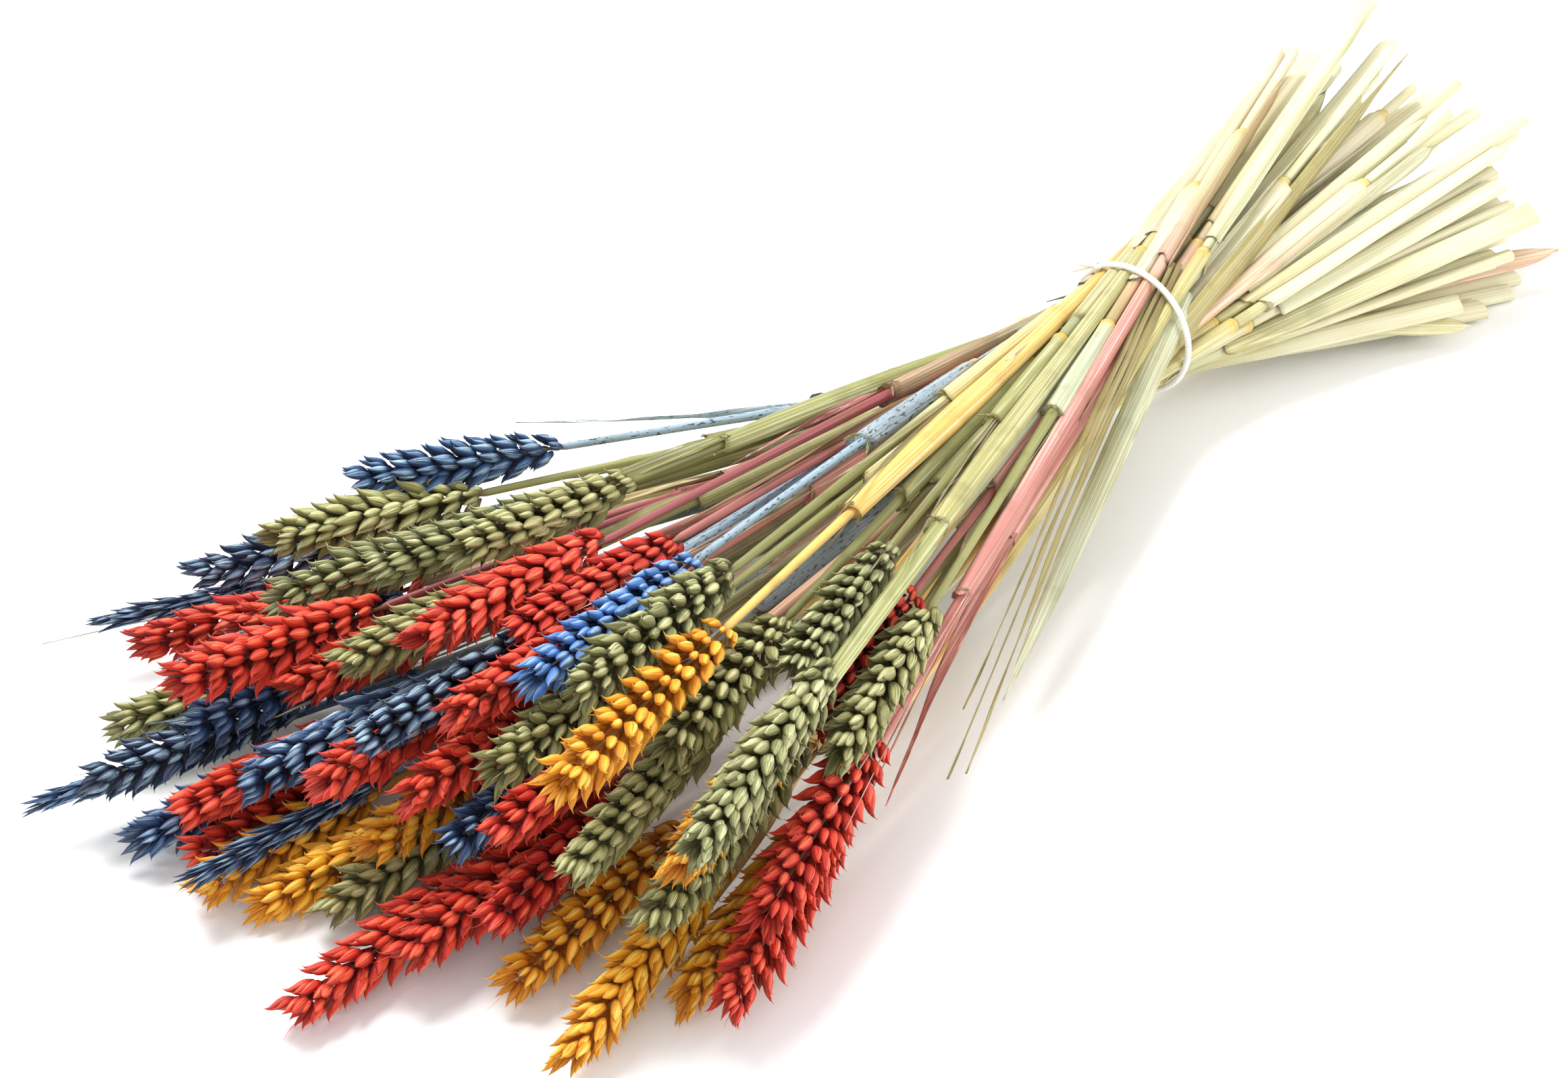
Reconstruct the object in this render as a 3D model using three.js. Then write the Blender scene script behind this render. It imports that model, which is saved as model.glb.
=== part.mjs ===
// A bunch of dried, dyed wheat, held by one round elastic and lying on a table.
// Every stalk is one grown piece: a straw with its ear at one end and a cut at the other.
// The straws cross inside the elastic as in a spiral-tied bouquet, so the ears fan out on one
// side of it and the cut ends on the other. Five loose leaf blades are held by the same elastic.
//
// Millimetres, +Z up. X runs along the bunch, from the ears (low X) to the cut ends (high X).
// The layout is worked out with the elastic at x = 0, and the group is then moved so that the
// origin is the middle of the bounding box's bottom face.
import * as THREE from "three";

// ---- Driving dimensions ----
const BUNCH_HALF_WIDTH = 23.2; // inside the elastic
const BUNCH_HALF_HEIGHT = 20.4; // its own weight flattens it a little
const BUNCH_HEIGHT = 35; // of the elastic's centre above the table
const ELASTIC_RADIUS = 1.1; // of the elastic's own section
const ELASTIC_STEPS = 32; // around the bunch
const EAR_RADIUS = 6.1; // of a full ear at its thickest
const EAR_TIP_RADIUS = 0.35;
// An ear's outline from its tip, as shares of its length and of its radius.
const EAR_OUTLINE = [
  [0.1, 0.62],
  [0.35, 1],
  [0.72, 1],
  [0.93, 0.7],
];
const NECK_RADIUS = 1.5; // of the straw just under the ear
const BUTT_RADIUS = 2.2; // of the straw at the elastic and beyond
const LEAF_HALF_WIDTH = 3.1;
const LEAF_THICKNESS_SHARE = 0.3; // of its width
const LEAF_STEPS = 8; // along its length
// A blade's width follows a sine from a narrow end to a narrow end, with the middle at full width.
const LEAF_NARROWEST = 0.25;
const LEAF_SINE_START = 0.12;
const LEAF_SINE_SPAN = 0.8;
const SIDES = 6; // of every straw's section
const GAP = 0.35; // kept free between neighbours, and it also covers the facets' chords
const TABLE = 0.1; // the height of the table in the layout

// ---- The bunch's spiral ----
const FAN_HALF_WIDTH = 125; // of the ears' fan, for working out where a straw crosses the elastic
const FAN_HALF_HEIGHT = 42;
const SPIRAL_TURN = THREE.MathUtils.degToRad(-78); // from the ears to the elastic
const EAR_MEAN = 320; // from the elastic to an average ear's tip
const CUT_FURTHEST = 190; // x of the cut ends that reach the furthest
const CUT_MIDDLE = 0.1; // the slope, across the bunch, of the straws that they belong to
const CUT_FALL = 240; // how much shorter the others are, for each square of the slope from that
const CUT_JITTER = 15;

// ---- The relaxation that lets neighbours press each other aside ----
const STATION_STEP = 50; // between the stations where a straw can bend
const STATION_MARGIN = 8; // between an ear or a cut end and the nearest station
const FIRST_STATION = -400;
const LAST_STATION = 250;
const PLANE_STEP = 10; // between the planes where neighbours are compared
const ROUNDS = 900;
const SETTLING_ROUNDS = 260; // the last ones, which let go of the tips
const SETTLING_SKIP = 3; // and straighten the strands only in every third round
const STIFFNESS = 0.32;
const TIP_PULL = 0.06;
const ELASTIC_HOLD = 5; // along X, to either side of the elastic, where it presses the straws in
const NEARLY_NOTHING = 1e-6; // stands for a distance of zero, to divide by

// ---- Colours ----
const DYES = {
  blue: 0x24406b,
  olive: 0x8c8c50,
  coral: 0xe0483a,
  amber: 0xe8a020,
};
const LEAF_COLOUR = 0xc9cc9a;
const ELASTIC_COLOUR = 0xf4f4f0;
const STRAW_ROUGHNESS = 0.85;
const ELASTIC_ROUGHNESS = 0.6;

// Each ear by its dye, the place of its tip (along, across, up), its length and its fullness.
const EARS = [
  ["blue", -256, 94, 50, 68, 0.95],
  ["blue", -304, 112, 30, 66, 0.95],
  ["blue", -330, 128, 18, 62, 0.5],
  ["blue", -340, 64, 40, 74, 1],
  ["blue", -348, 54, 30, 72, 1],
  ["blue", -334, -10, 54, 76, 1],
  ["blue", -386, 74, 15, 66, 0.5],
  ["blue", -376, 64, 22, 70, 0.95],
  ["blue", -372, 44, 10, 70, 0.95],
  ["blue", -352, 20, 32, 74, 1],
  ["blue", -374, 14, 18, 68, 0.5],
  ["blue", -328, -38, 32, 66, 0.85],
  ["blue", -298, -36, 66, 80, 0.95],
  ["olive", -290, 94, 44, 72, 1],
  ["olive", -308, 62, 48, 80, 1],
  ["olive", -288, 40, 62, 74, 1],
  ["olive", -270, 26, 64, 70, 1],
  ["olive", -316, 22, 52, 76, 1],
  ["olive", -352, 84, 16, 68, 1],
  ["olive", -352, -12, 8, 70, 0.95],
  ["olive", -298, -58, 76, 78, 1],
  ["olive", -284, -72, 58, 72, 1],
  ["olive", -318, -46, 52, 72, 1],
  ["olive", -306, -106, 56, 86, 1],
  ["olive", -314, -98, 34, 86, 1],
  ["olive", -320, -78, 44, 80, 1],
  ["olive", -236, -72, 58, 66, 0.9],
  ["olive", -242, -94, 38, 70, 0.95],
  ["coral", -332, 104, 25, 70, 0.95],
  ["coral", -316, 76, 34, 70, 0.95],
  ["coral", -308, 0, 66, 80, 1],
  ["coral", -282, -12, 62, 74, 0.95],
  ["coral", -350, 50, 44, 72, 1],
  ["coral", -324, 42, 40, 70, 0.95],
  ["coral", -364, 34, 22, 70, 1],
  ["coral", -344, -2, 40, 72, 1],
  ["coral", -332, -26, 44, 70, 1],
  ["coral", -318, -26, 62, 72, 0.95],
  ["coral", -366, 32, 8, 68, 0.9],
  ["coral", -380, -36, 8, 84, 1],
  ["coral", -354, -46, 14, 84, 1],
  ["coral", -328, -52, 46, 74, 1],
  ["coral", -334, -60, 22, 74, 1],
  ["coral", -234, -76, 40, 68, 0.9],
  ["coral", -290, -112, 32, 76, 1],
  ["coral", -306, -118, 14, 78, 0.95],
  ["amber", -374, 18, 8, 66, 0.9],
  ["amber", -366, 2, 8, 70, 0.95],
  ["amber", -338, -14, 20, 70, 1],
  ["amber", -336, -68, 10, 76, 0.95],
  ["amber", -344, -100, 8, 84, 0.9],
  ["amber", -322, -76, 70, 84, 1],
  ["amber", -304, -100, 44, 76, 0.95],
  ["amber", -308, -104, 8, 76, 0.95],
];

// Each loose leaf blade by the place of its free tip (along, across, up), the x of its held end,
// which is beyond the elastic, and its twist in turns.
const LEAVES = [
  { tip: [-158, -84, 12], held: 14, twist: 0.3 },
  { tip: [-216, -108, 22], held: 18, twist: 0.45 },
  { tip: [124, -58, 8], held: -20, twist: 0.1 },
  { tip: [184, -60, 16], held: -28, twist: 0.15 },
  { tip: [188, 26, 62], held: -24, twist: -0.2 },
];

// ---- A repeatable source of small differences: Lehmer's generator ----
const LEHMER_FACTOR = 16807;
const LEHMER_MODULUS = 2147483647;
let seed = 20417;
function random() {
  seed = (seed * LEHMER_FACTOR) % LEHMER_MODULUS;
  return seed / LEHMER_MODULUS;
}
const jitter = (size) => (2 * random() - 1) * size;

// ---- Strands: everything that runs through the elastic ----
// Where a straw crosses the elastic: the fan turned and shrunk to the bunch's section.
function crossing(across, up) {
  const u = across / FAN_HALF_WIDTH;
  const v = (up - BUNCH_HEIGHT) / FAN_HALF_HEIGHT;
  const angle = Math.atan2(v, u) + SPIRAL_TURN;
  const reach = Math.min(1, Math.hypot(u, v));
  return [
    reach * (BUNCH_HALF_WIDTH - BUTT_RADIUS) * Math.cos(angle),
    BUNCH_HEIGHT + reach * (BUNCH_HALF_HEIGHT - BUTT_RADIUS) * Math.sin(angle),
  ];
}

const stalksOf = { blue: 0, olive: 0, coral: 0, amber: 0 };
function nextName(dye) {
  stalksOf[dye] += 1;
  return dye + "_stalk_" + String(stalksOf[dye]).padStart(2, "0");
}

function stalk([dye, along, across, up, earLength, fullness]) {
  const [y, z] = crossing(across, up);
  const slope = (across - y) / along;
  const cut = CUT_FURTHEST - CUT_FALL * (slope - CUT_MIDDLE) ** 2 + jitter(CUT_JITTER);
  const neck = along + earLength;
  const earRadius = EAR_RADIUS * fullness;
  const profile = [[along, EAR_TIP_RADIUS]];
  for (const [share, width] of EAR_OUTLINE)
    profile.push([along + share * earLength, width * earRadius]);
  profile.push([neck, NECK_RADIUS]);
  for (let x = FIRST_STATION; x < cut - STATION_MARGIN; x += STATION_STEP)
    if (x > neck + STATION_MARGIN) profile.push([x, strawRadius(x, neck)]);
  profile.push([cut, BUTT_RADIUS]);
  return {
    name: nextName(dye),
    colour: DYES[dye],
    tip: [along, across, up],
    line: (x) => [y + slope * x, z + ((up - z) / along) * x],
    profile,
    flatness: 1,
    twist: 0,
  };
}

// The straw thickens steadily from the ear's neck to the elastic, and is even beyond it.
function strawRadius(x, neck) {
  const share = THREE.MathUtils.clamp((x - neck) / -neck, 0, 1);
  return THREE.MathUtils.lerp(NECK_RADIUS, BUTT_RADIUS, share);
}

// A blade crosses the elastic where an ear that fans out the same way would.
function leaf({ tip, held, twist }, number) {
  const [along, across, up] = tip;
  const spread = -EAR_MEAN / along;
  const [y, z] = crossing(
    across * spread,
    BUNCH_HEIGHT + (up - BUNCH_HEIGHT) * spread,
  );
  const profile = [];
  for (let i = 0; i <= LEAF_STEPS; i++) {
    const share = i / LEAF_STEPS;
    const fromTip = along < 0 ? share : 1 - share;
    const sine = Math.sin(Math.PI * (LEAF_SINE_START + LEAF_SINE_SPAN * fromTip));
    const width = LEAF_NARROWEST + (1 - LEAF_NARROWEST) * sine;
    const x = THREE.MathUtils.lerp(Math.min(along, held), Math.max(along, held), share);
    profile.push([x, LEAF_HALF_WIDTH * width]);
  }
  return {
    name: "leaf_blade_" + (number + 1),
    colour: LEAF_COLOUR,
    tip,
    line: (x) => [y + ((across - y) / along) * x, z + ((up - z) / along) * x],
    profile,
    flatness: LEAF_THICKNESS_SHARE,
    twist,
  };
}

// ---- Relaxation ----
// A strand is a list of (y, z) at the stations. In each plane across X, every strand is a disc,
// and discs that overlap push each other apart. Stiffness keeps the strands smooth.
const stationX = [];
for (let x = FIRST_STATION; x <= LAST_STATION; x += STATION_STEP) stationX.push(x);

function radiusAt(profile, x) {
  const last = profile.length - 1;
  if (x < profile[0][0] || x > profile[last][0]) return 0;
  let i = 1;
  while (profile[i][0] < x) i++;
  const share = (x - profile[i - 1][0]) / (profile[i][0] - profile[i - 1][0]);
  return THREE.MathUtils.lerp(profile[i - 1][1], profile[i][1], share);
}

// The two stations beside x, and how far x lies between them.
function between(x) {
  const i = THREE.MathUtils.clamp(
    Math.floor((x - FIRST_STATION) / STATION_STEP),
    0,
    stationX.length - 2,
  );
  return [i, (x - stationX[i]) / STATION_STEP];
}

function centreAt(strand, x) {
  const [i, t] = between(x);
  const a = strand.points[i];
  const b = strand.points[i + 1];
  return [a[0] + t * (b[0] - a[0]), a[1] + t * (b[1] - a[1])];
}

// Moves the strand's centre at x by (dy, dz), by moving the two stations beside it.
function push(strand, x, dy, dz) {
  const [i, t] = between(x);
  const share = 1 / ((1 - t) ** 2 + t ** 2);
  const a = strand.points[i];
  const b = strand.points[i + 1];
  a[0] += (1 - t) * share * dy;
  a[1] += (1 - t) * share * dz;
  b[0] += t * share * dy;
  b[1] += t * share * dz;
}

function straighten(strand) {
  const p = strand.points;
  const [first] = between(strand.profile[0][0]);
  const last = between(strand.profile.at(-1)[0])[0] + 1;
  for (let i = first + 1; i < last; i++)
    for (const k of [0, 1]) {
      const middle = (p[i - 1][k] + p[i + 1][k]) / 2;
      const moved = STIFFNESS * (middle - p[i][k]);
      p[i][k] += moved;
      p[i - 1][k] -= moved / 2;
      p[i + 1][k] -= moved / 2;
    }
}

function pullTip(strand) {
  const [x, y, z] = strand.tip;
  const now = centreAt(strand, x);
  push(strand, x, TIP_PULL * (y - now[0]), TIP_PULL * (z - now[1]));
}

function keepInPlane(strands, x) {
  const here = [];
  for (const strand of strands) {
    const r = radiusAt(strand.profile, x);
    if (r > 0) here.push({ strand, r });
  }
  for (let i = 0; i < here.length; i++)
    for (let j = i + 1; j < here.length; j++) {
      const a = centreAt(here[i].strand, x);
      const b = centreAt(here[j].strand, x);
      const dy = b[0] - a[0];
      const dz = b[1] - a[1];
      const wanted = here[i].r + here[j].r + GAP;
      const now = Math.hypot(dy, dz) || NEARLY_NOTHING;
      if (now >= wanted) continue;
      const half = (wanted - now) / 2 / now;
      push(here[i].strand, x, -dy * half, -dz * half);
      push(here[j].strand, x, dy * half, dz * half);
    }
  for (const { strand, r } of here) {
    const [y, z] = centreAt(strand, x);
    if (z < TABLE + r) push(strand, x, 0, TABLE + r - z);
    if (Math.abs(x) > ELASTIC_HOLD) continue;
    const up = z - BUNCH_HEIGHT;
    const out = Math.hypot(y / (BUNCH_HALF_WIDTH - r), up / (BUNCH_HALF_HEIGHT - r));
    if (out > 1) push(strand, x, y / out - y, up / out - up);
  }
}

function relax(strands) {
  for (const strand of strands) strand.points = stationX.map((x) => strand.line(x));
  for (let round = 0; round < ROUNDS; round++) {
    const settling = round >= ROUNDS - SETTLING_ROUNDS;
    for (const strand of strands) {
      if (!settling) pullTip(strand);
      if (!settling || round % SETTLING_SKIP === 0) straighten(strand);
    }
    for (let x = FIRST_STATION; x <= LAST_STATION; x += PLANE_STEP)
      keepInPlane(strands, x);
  }
}

// ---- Solids ----
// A turned profile, flattened and twisted if it is a leaf, then bent along the strand.
function strandGeometry(strand) {
  const { profile, flatness, twist } = strand;
  const rim = profile.map(([x, r]) => new THREE.Vector2(r, x));
  const outline = [
    new THREE.Vector2(0, profile[0][0]),
    ...rim,
    new THREE.Vector2(0, profile.at(-1)[0]),
  ];
  const geometry = new THREE.LatheGeometry(outline, SIDES);
  const place = geometry.getAttribute("position");
  const from = profile[0][0];
  const length = profile.at(-1)[0] - from;
  for (let i = 0; i < place.count; i++) {
    const x = place.getY(i);
    const across = place.getZ(i);
    const up = place.getX(i) * flatness;
    const angle = 2 * Math.PI * twist * ((x - from) / length);
    const [y, z] = centreAt(strand, x);
    place.setXYZ(
      i,
      x,
      y + across * Math.cos(angle) - up * Math.sin(angle),
      z + across * Math.sin(angle) + up * Math.cos(angle),
    );
  }
  geometry.computeVertexNormals();
  return geometry;
}

function finish(name, geometry, colour, roughness) {
  const material = new THREE.MeshStandardMaterial({
    color: colour,
    roughness,
    metalness: 0,
  });
  const mesh = new THREE.Mesh(geometry, material);
  mesh.name = name;
  return mesh;
}

function elastic() {
  const ring = [];
  for (let i = 0; i < ELASTIC_STEPS; i++) {
    const angle = (2 * Math.PI * i) / ELASTIC_STEPS;
    const across = (BUNCH_HALF_WIDTH + ELASTIC_RADIUS + GAP) * Math.cos(angle);
    const up = (BUNCH_HALF_HEIGHT + ELASTIC_RADIUS + GAP) * Math.sin(angle);
    ring.push(new THREE.Vector3(0, across, BUNCH_HEIGHT + up));
  }
  const line = new THREE.CatmullRomCurve3(ring, true);
  const geometry = new THREE.TubeGeometry(line, ELASTIC_STEPS, ELASTIC_RADIUS, SIDES, true);
  return finish("elastic_tie", geometry, ELASTIC_COLOUR, ELASTIC_ROUGHNESS);
}

const strands = [...EARS.map(stalk), ...LEAVES.map(leaf)];
relax(strands);

const bunch = new THREE.Group();
for (const strand of strands)
  bunch.add(finish(strand.name, strandGeometry(strand), strand.colour, STRAW_ROUGHNESS));
bunch.add(elastic());

const box = new THREE.Box3().setFromObject(bunch);
bunch.position.set(
  -(box.min.x + box.max.x) / 2,
  -(box.min.y + box.max.y) / 2,
  -box.min.z,
);

export default bunch;
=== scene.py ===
"""A tied bunch of dried, dyed wheat, lying on a pale floor.

Every stalk is built straight, along X, from its ear's tip to its cut end, and is then bent along
the centreline of its own stalk in the frame. Metres, +Z up.
"""

import math
import random

import bpy
import numpy as np
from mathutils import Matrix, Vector


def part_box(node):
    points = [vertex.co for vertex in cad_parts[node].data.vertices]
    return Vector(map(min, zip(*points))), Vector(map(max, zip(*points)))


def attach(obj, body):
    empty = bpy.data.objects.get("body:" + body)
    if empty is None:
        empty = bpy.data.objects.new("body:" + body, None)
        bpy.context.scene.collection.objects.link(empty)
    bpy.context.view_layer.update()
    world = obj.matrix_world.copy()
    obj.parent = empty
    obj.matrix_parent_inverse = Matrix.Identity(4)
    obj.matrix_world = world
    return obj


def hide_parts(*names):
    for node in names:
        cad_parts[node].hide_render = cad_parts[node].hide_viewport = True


bl_info = {
    "name": "Tied Bunch of Dyed Wheat",
    "version": (1, 0, 0),
    "blender": (4, 5, 0),
    "location": "3D View > Sidebar > Wheat",
    "description": "Dried wheat stalks with dyed ears and dry leaves, held by one elastic",
    "category": "Object",
}

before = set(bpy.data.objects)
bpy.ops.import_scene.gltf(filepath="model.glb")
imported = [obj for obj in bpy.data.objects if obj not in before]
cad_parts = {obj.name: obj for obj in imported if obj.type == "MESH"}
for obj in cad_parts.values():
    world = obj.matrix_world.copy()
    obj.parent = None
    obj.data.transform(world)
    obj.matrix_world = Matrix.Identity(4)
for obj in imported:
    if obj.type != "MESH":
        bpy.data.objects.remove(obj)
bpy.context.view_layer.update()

MM = 0.001
ROUND = 2 * math.pi
LEAD = 20 * MM  # of straight path before a strand's first ring and after its last
EAR_RINGS = 6  # a stalk's first rings outline its ear, and the last of them is its neck
FULL_EAR = 6.1 * MM  # radius of a full ear
TABLE_GAP = 0.1 * MM  # the table presses everything at least this far up
TIE_LOW, TIE_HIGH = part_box("elastic_tie")
TIE = (TIE_LOW + TIE_HIGH) / 2
TIE_HALF = (TIE_HIGH - TIE_LOW) / 2


def linear(code):
    """A colour written as rrggbb, as the linear values that Blender's sockets hold."""
    shares = [int(code[i : i + 2], 16) / 255 for i in (0, 2, 4)]
    return tuple(v / 12.92 if v <= 0.04045 else ((v + 0.055) / 1.055) ** 2.4 for v in shares)


# ---------------------------------------------------------------------------------------------
# Sizes and colours that a user would change
# ---------------------------------------------------------------------------------------------


def length(name, description, millimetres):
    """A length property with its default in millimetres."""
    return bpy.props.FloatProperty(
        name=name, description=description, default=millimetres * MM, min=0, unit="LENGTH"
    )


def angle(name, description, degrees):
    """An angle property with its default in degrees."""
    return bpy.props.FloatProperty(
        name=name, description=description, default=math.radians(degrees), subtype="ANGLE"
    )


def colour(name, description, code):
    """A colour property with its default as rrggbb."""
    return bpy.props.FloatVectorProperty(
        name=name, description=description, default=linear(code), subtype="COLOR", min=0, max=1
    )


class WheatEarSizes(bpy.types.PropertyGroup):
    """Sizes of an ear and of its scales."""

    spikelet_step: length("Spikelet step", "Along the ear, from one spikelet to the next", 3.35)
    glume_length: length("Glume length", "Of the outer scale at each side of a spikelet", 9.2)
    glume_width: length("Glume width", "Across a glume at its widest", 3.5)
    glume_depth: length("Glume depth", "From a glume's hollow side to its keel", 2.0)
    lemma_length: length("Lemma length", "Of the swollen scale round a grain", 11.4)
    lemma_width: length("Lemma width", "Across a lemma at its widest", 3.1)
    lemma_depth: length("Lemma depth", "Through a lemma at its thickest", 2.3)
    awn_length: length("Awn length", "Of a bristle near the ear's tip", 9)
    lean: angle("Lean", "Of a spikelet away from the ear's axis", 23)
    twist: angle("Twist", "The most that an ear's two rows turn along the whole ear", 22)


class WheatStrawSizes(bpy.types.PropertyGroup):
    """Sizes of a straw, its joints and its leaf sheaths."""

    neck_radius: length("Neck radius", "Of the bare straw just under the ear", 1.25)
    culm_radius: length("Straw radius", "Of the straw inside its sheaths", 1.95)
    sheath_radius: length("Sheath radius", "Of a leaf sheath inside the elastic", 2.62)
    sheath_bulge: bpy.props.FloatProperty(
        name="Sheath bulge",
        description="Width of a sheath near its collar, in widths at its foot",
        default=1.28,
        min=0,
        subtype="FACTOR",
        soft_max=2,
    )
    wall: length("Wall", "Thickness of the hollow straw's wall", 0.55)
    hollow: length("Hollow depth", "How deep the cut end is open", 9)
    ribbon_thickness: length("Blade thickness", "Of a dry leaf blade", 0.28)


class WheatTieSizes(bpy.types.PropertyGroup):
    """Sizes of the elastic."""

    cord_radius: length("Cord radius", "Of the elastic's own section", 1.05)
    rib_step: length("Rib step", "Along the elastic, from one rib of its cover to the next", 1.1)
    tail_length: length("Tail length", "Of the frayed ends at the knot", 17)


class WheatColours(bpy.types.PropertyGroup):
    """Colours of the undyed straw, the elastic and the floor. Those of the dyes follow below."""

    sage: colour("Sage", "Most undyed sheaths", "babf9f")
    moss: colour("Moss", "The greenest undyed straw", "989a66")
    straw: colour("Straw", "The yellowest undyed straw", "cdbf74")
    mint: colour("Mint", "The palest green sheaths", "c3d0b6")
    peach: colour("Peach", "Sheaths that took up a little coral dye", "dba88c")
    cream: colour("Cream", "What the straw fades to at the cut ends", "e5dfbd")
    joint: colour("Joint", "The swollen joints", "cfb146")
    brown: colour("Brown", "Withered and torn edges", "6e5a2c")
    soil: colour("Soil", "Blotches on the straw", "66602c")
    vein: colour("Vein", "The dark veins of a sheath or blade", "5b5a36")
    # Gloss is a painted sheen: bright lines between the veins.
    gloss: colour("Gloss", "The bright lines between the veins", "f6f5e2")
    violet: colour("Violet", "What the tips of some blue scales lean to", "46377c")
    elastic: colour("Elastic", "The elastic's cover", "f3f3f1")
    # The colour of the painted shade in the hollows of the elastic's cover.
    weave_and_shade: colour("Weave", "The hollows of the elastic's cover", "c9c9c6")
    floor: colour("Floor", "The floor and the background", "fbfbfb")
    # The colour of faint patches of painted shade on the floor.
    floor_shade: colour("Mottle", "The floor's faint darker patches", "e8e8e8")


# A dye's light colour is a painted highlight on the middle of a scale. Its dark colour is painted
# shade at a scale's edges, foot, grooves and hollow side, and is also the colour of real darker
# blotches on the scales and of the blue dye's specks on straw.
DYE_USES = {
    "light": "Middle of a scale",
    "body": "Most of a scale",
    "dark": "Edges and foot of a scale",
    "drift": "What the deepest dyed ears lean to",
    "pale": "Most of a scale that took up little dye",
    "straw": "Straw near the ear",
    "deep": "The strongest dyed straw",
}
DYES = {  # each dye's colours, in the order of their uses
    "blue": ("b6d6e6", "1d3860", "0a0f22", "12243f", "5f95e4", "9db4c4", "54738f"),
    "olive": ("dad7a2", "9c9858", "4a4724", "66744f", "a7a878", "a9aa6c", "7d7d42"),
    "coral": ("ff7c54", "ea300c", "740603", "c81f22", "f07a68", "d98b82", "96464a"),
    "amber": ("ffe26c", "f9ae02", "ac5a00", "cf8a16", "f3bf56", "f0c468", "c79434"),
}
for dye, codes in DYES.items():
    for (use, description), code in zip(DYE_USES.items(), codes):
        WheatColours.__annotations__[f"{dye}_{use}"] = colour(
            f"{dye.title()}, {use}", description, code
        )

GROUPS = {
    "wheat_ear": WheatEarSizes,
    "wheat_straw": WheatStrawSizes,
    "wheat_tie": WheatTieSizes,
    "wheat_colours": WheatColours,
}


# ---------------------------------------------------------------------------------------------
# Objects, curves and meshes
# ---------------------------------------------------------------------------------------------


def new_object(name, data):
    """An object of the scene that shows a mesh, a curve, a lamp or a camera."""
    made = bpy.data.objects.new(name, data)
    bpy.context.scene.collection.objects.link(made)
    return made


def new_mesh(name, places, faces, **values):
    """A mesh object, with values at its corners for trees and finishes to read."""
    mesh = bpy.data.meshes.new(name)
    mesh.from_pydata(places, [], faces)
    for key, rows in values.items():
        rows = np.asarray(rows, np.float32)
        kind, field = ("FLOAT", "value") if rows.ndim == 1 else ("FLOAT_VECTOR", "vector")
        mesh.attributes.new(key, kind, "POINT").data.foreach_set(field, rows.ravel())
    mesh.update()
    return new_object(name, mesh)


def ring_faces(rows, corners, start=0):
    """The faces between rings of corners that are numbered one ring after another."""
    faces = []
    for low in range(start, start + (rows - 1) * corners, corners):
        high = low + corners
        for j in range(corners):
            k = (j + 1) % corners
            faces.append((low + j, low + k, high + k, high + j))
    return faces


def new_curve(name):
    """An empty curve, to be filled with lines."""
    curve = bpy.data.curves.new(name, "CURVE")
    curve.dimensions = "3D"
    return curve


def add_line(curve, points, closed=False, thickness=1.0):
    """A line from point to point."""
    spline = curve.splines.new("POLY")
    spline.points.add(len(points) - 1)
    for corner, place in zip(spline.points, points):
        corner.co = (*place, 1)
        corner.radius = thickness
    spline.use_cyclic_u = closed


def smoothstep(low, high, value):
    """Eases from 0 at low to 1 at high."""
    t = np.clip((value - low) / (high - low), 0, 1)
    return t * t * (3 - 2 * t)


# ---------------------------------------------------------------------------------------------
# Strands of the frame and their paths
# ---------------------------------------------------------------------------------------------


def rings_of(node):
    """The centres and radii of a strand's rings, in order along +X."""
    corners = np.array([v.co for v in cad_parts[node].data.vertices], float)
    at = np.round(corners[:, 0], 5)
    centres, radii = [], []
    for x in np.unique(at):
        ring = np.unique(np.round(corners[at == x], 6), axis=0)
        centre = ring.mean(axis=0)
        centres.append(centre)
        radii.append(np.linalg.norm(ring - centre, axis=1).max())
    return np.array(centres), np.array(radii)


class Path:
    """A smooth line through a strand's ring centres, with straight leads at both ends."""

    STEP = 4 * MM

    def __init__(self, centres):
        first = centres[0] + LEAD * self.direction(centres[1], centres[0])
        last = centres[-1] + LEAD * self.direction(centres[-2], centres[-1])
        self.points = self.smoothed(np.array([first, *centres, last]))
        steps = np.linalg.norm(np.diff(self.points, axis=0), axis=1)
        self.distances = np.concatenate([[0], np.cumsum(steps)])

    @staticmethod
    def direction(start, end):
        return (end - start) / np.linalg.norm(end - start)

    def smoothed(self, knots):
        """Hermite curves over X, with each knot's slope taken from its neighbours."""
        x = knots[:, 0]
        fine = np.arange(x[0], x[-1], self.STEP)
        left = np.clip(np.searchsorted(x, fine, side="right") - 1, 0, len(x) - 2)
        span = x[left + 1] - x[left]
        t = (fine - x[left]) / span
        columns = [fine]
        for k in (1, 2):
            value, slope = knots[:, k], np.gradient(knots[:, k], x)
            columns.append(
                (2 * t**3 - 3 * t**2 + 1) * value[left]
                + (t**3 - 2 * t**2 + t) * span * slope[left]
                + (3 * t**2 - 2 * t**3) * value[left + 1]
                + (t**3 - t**2) * span * slope[left + 1]
            )
        return np.array(columns).T

    def distance_to(self, x):
        """How far along the path a plane across X lies."""
        return float(np.interp(x, self.points[:, 0], self.distances))

    def as_curve(self, name):
        """The path as a curve object, for the nodes that bend a straight model along it."""
        curve = new_curve(name)
        add_line(curve, self.points)
        return new_object(name, curve)


# ---------------------------------------------------------------------------------------------
# Straight models
# ---------------------------------------------------------------------------------------------


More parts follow.
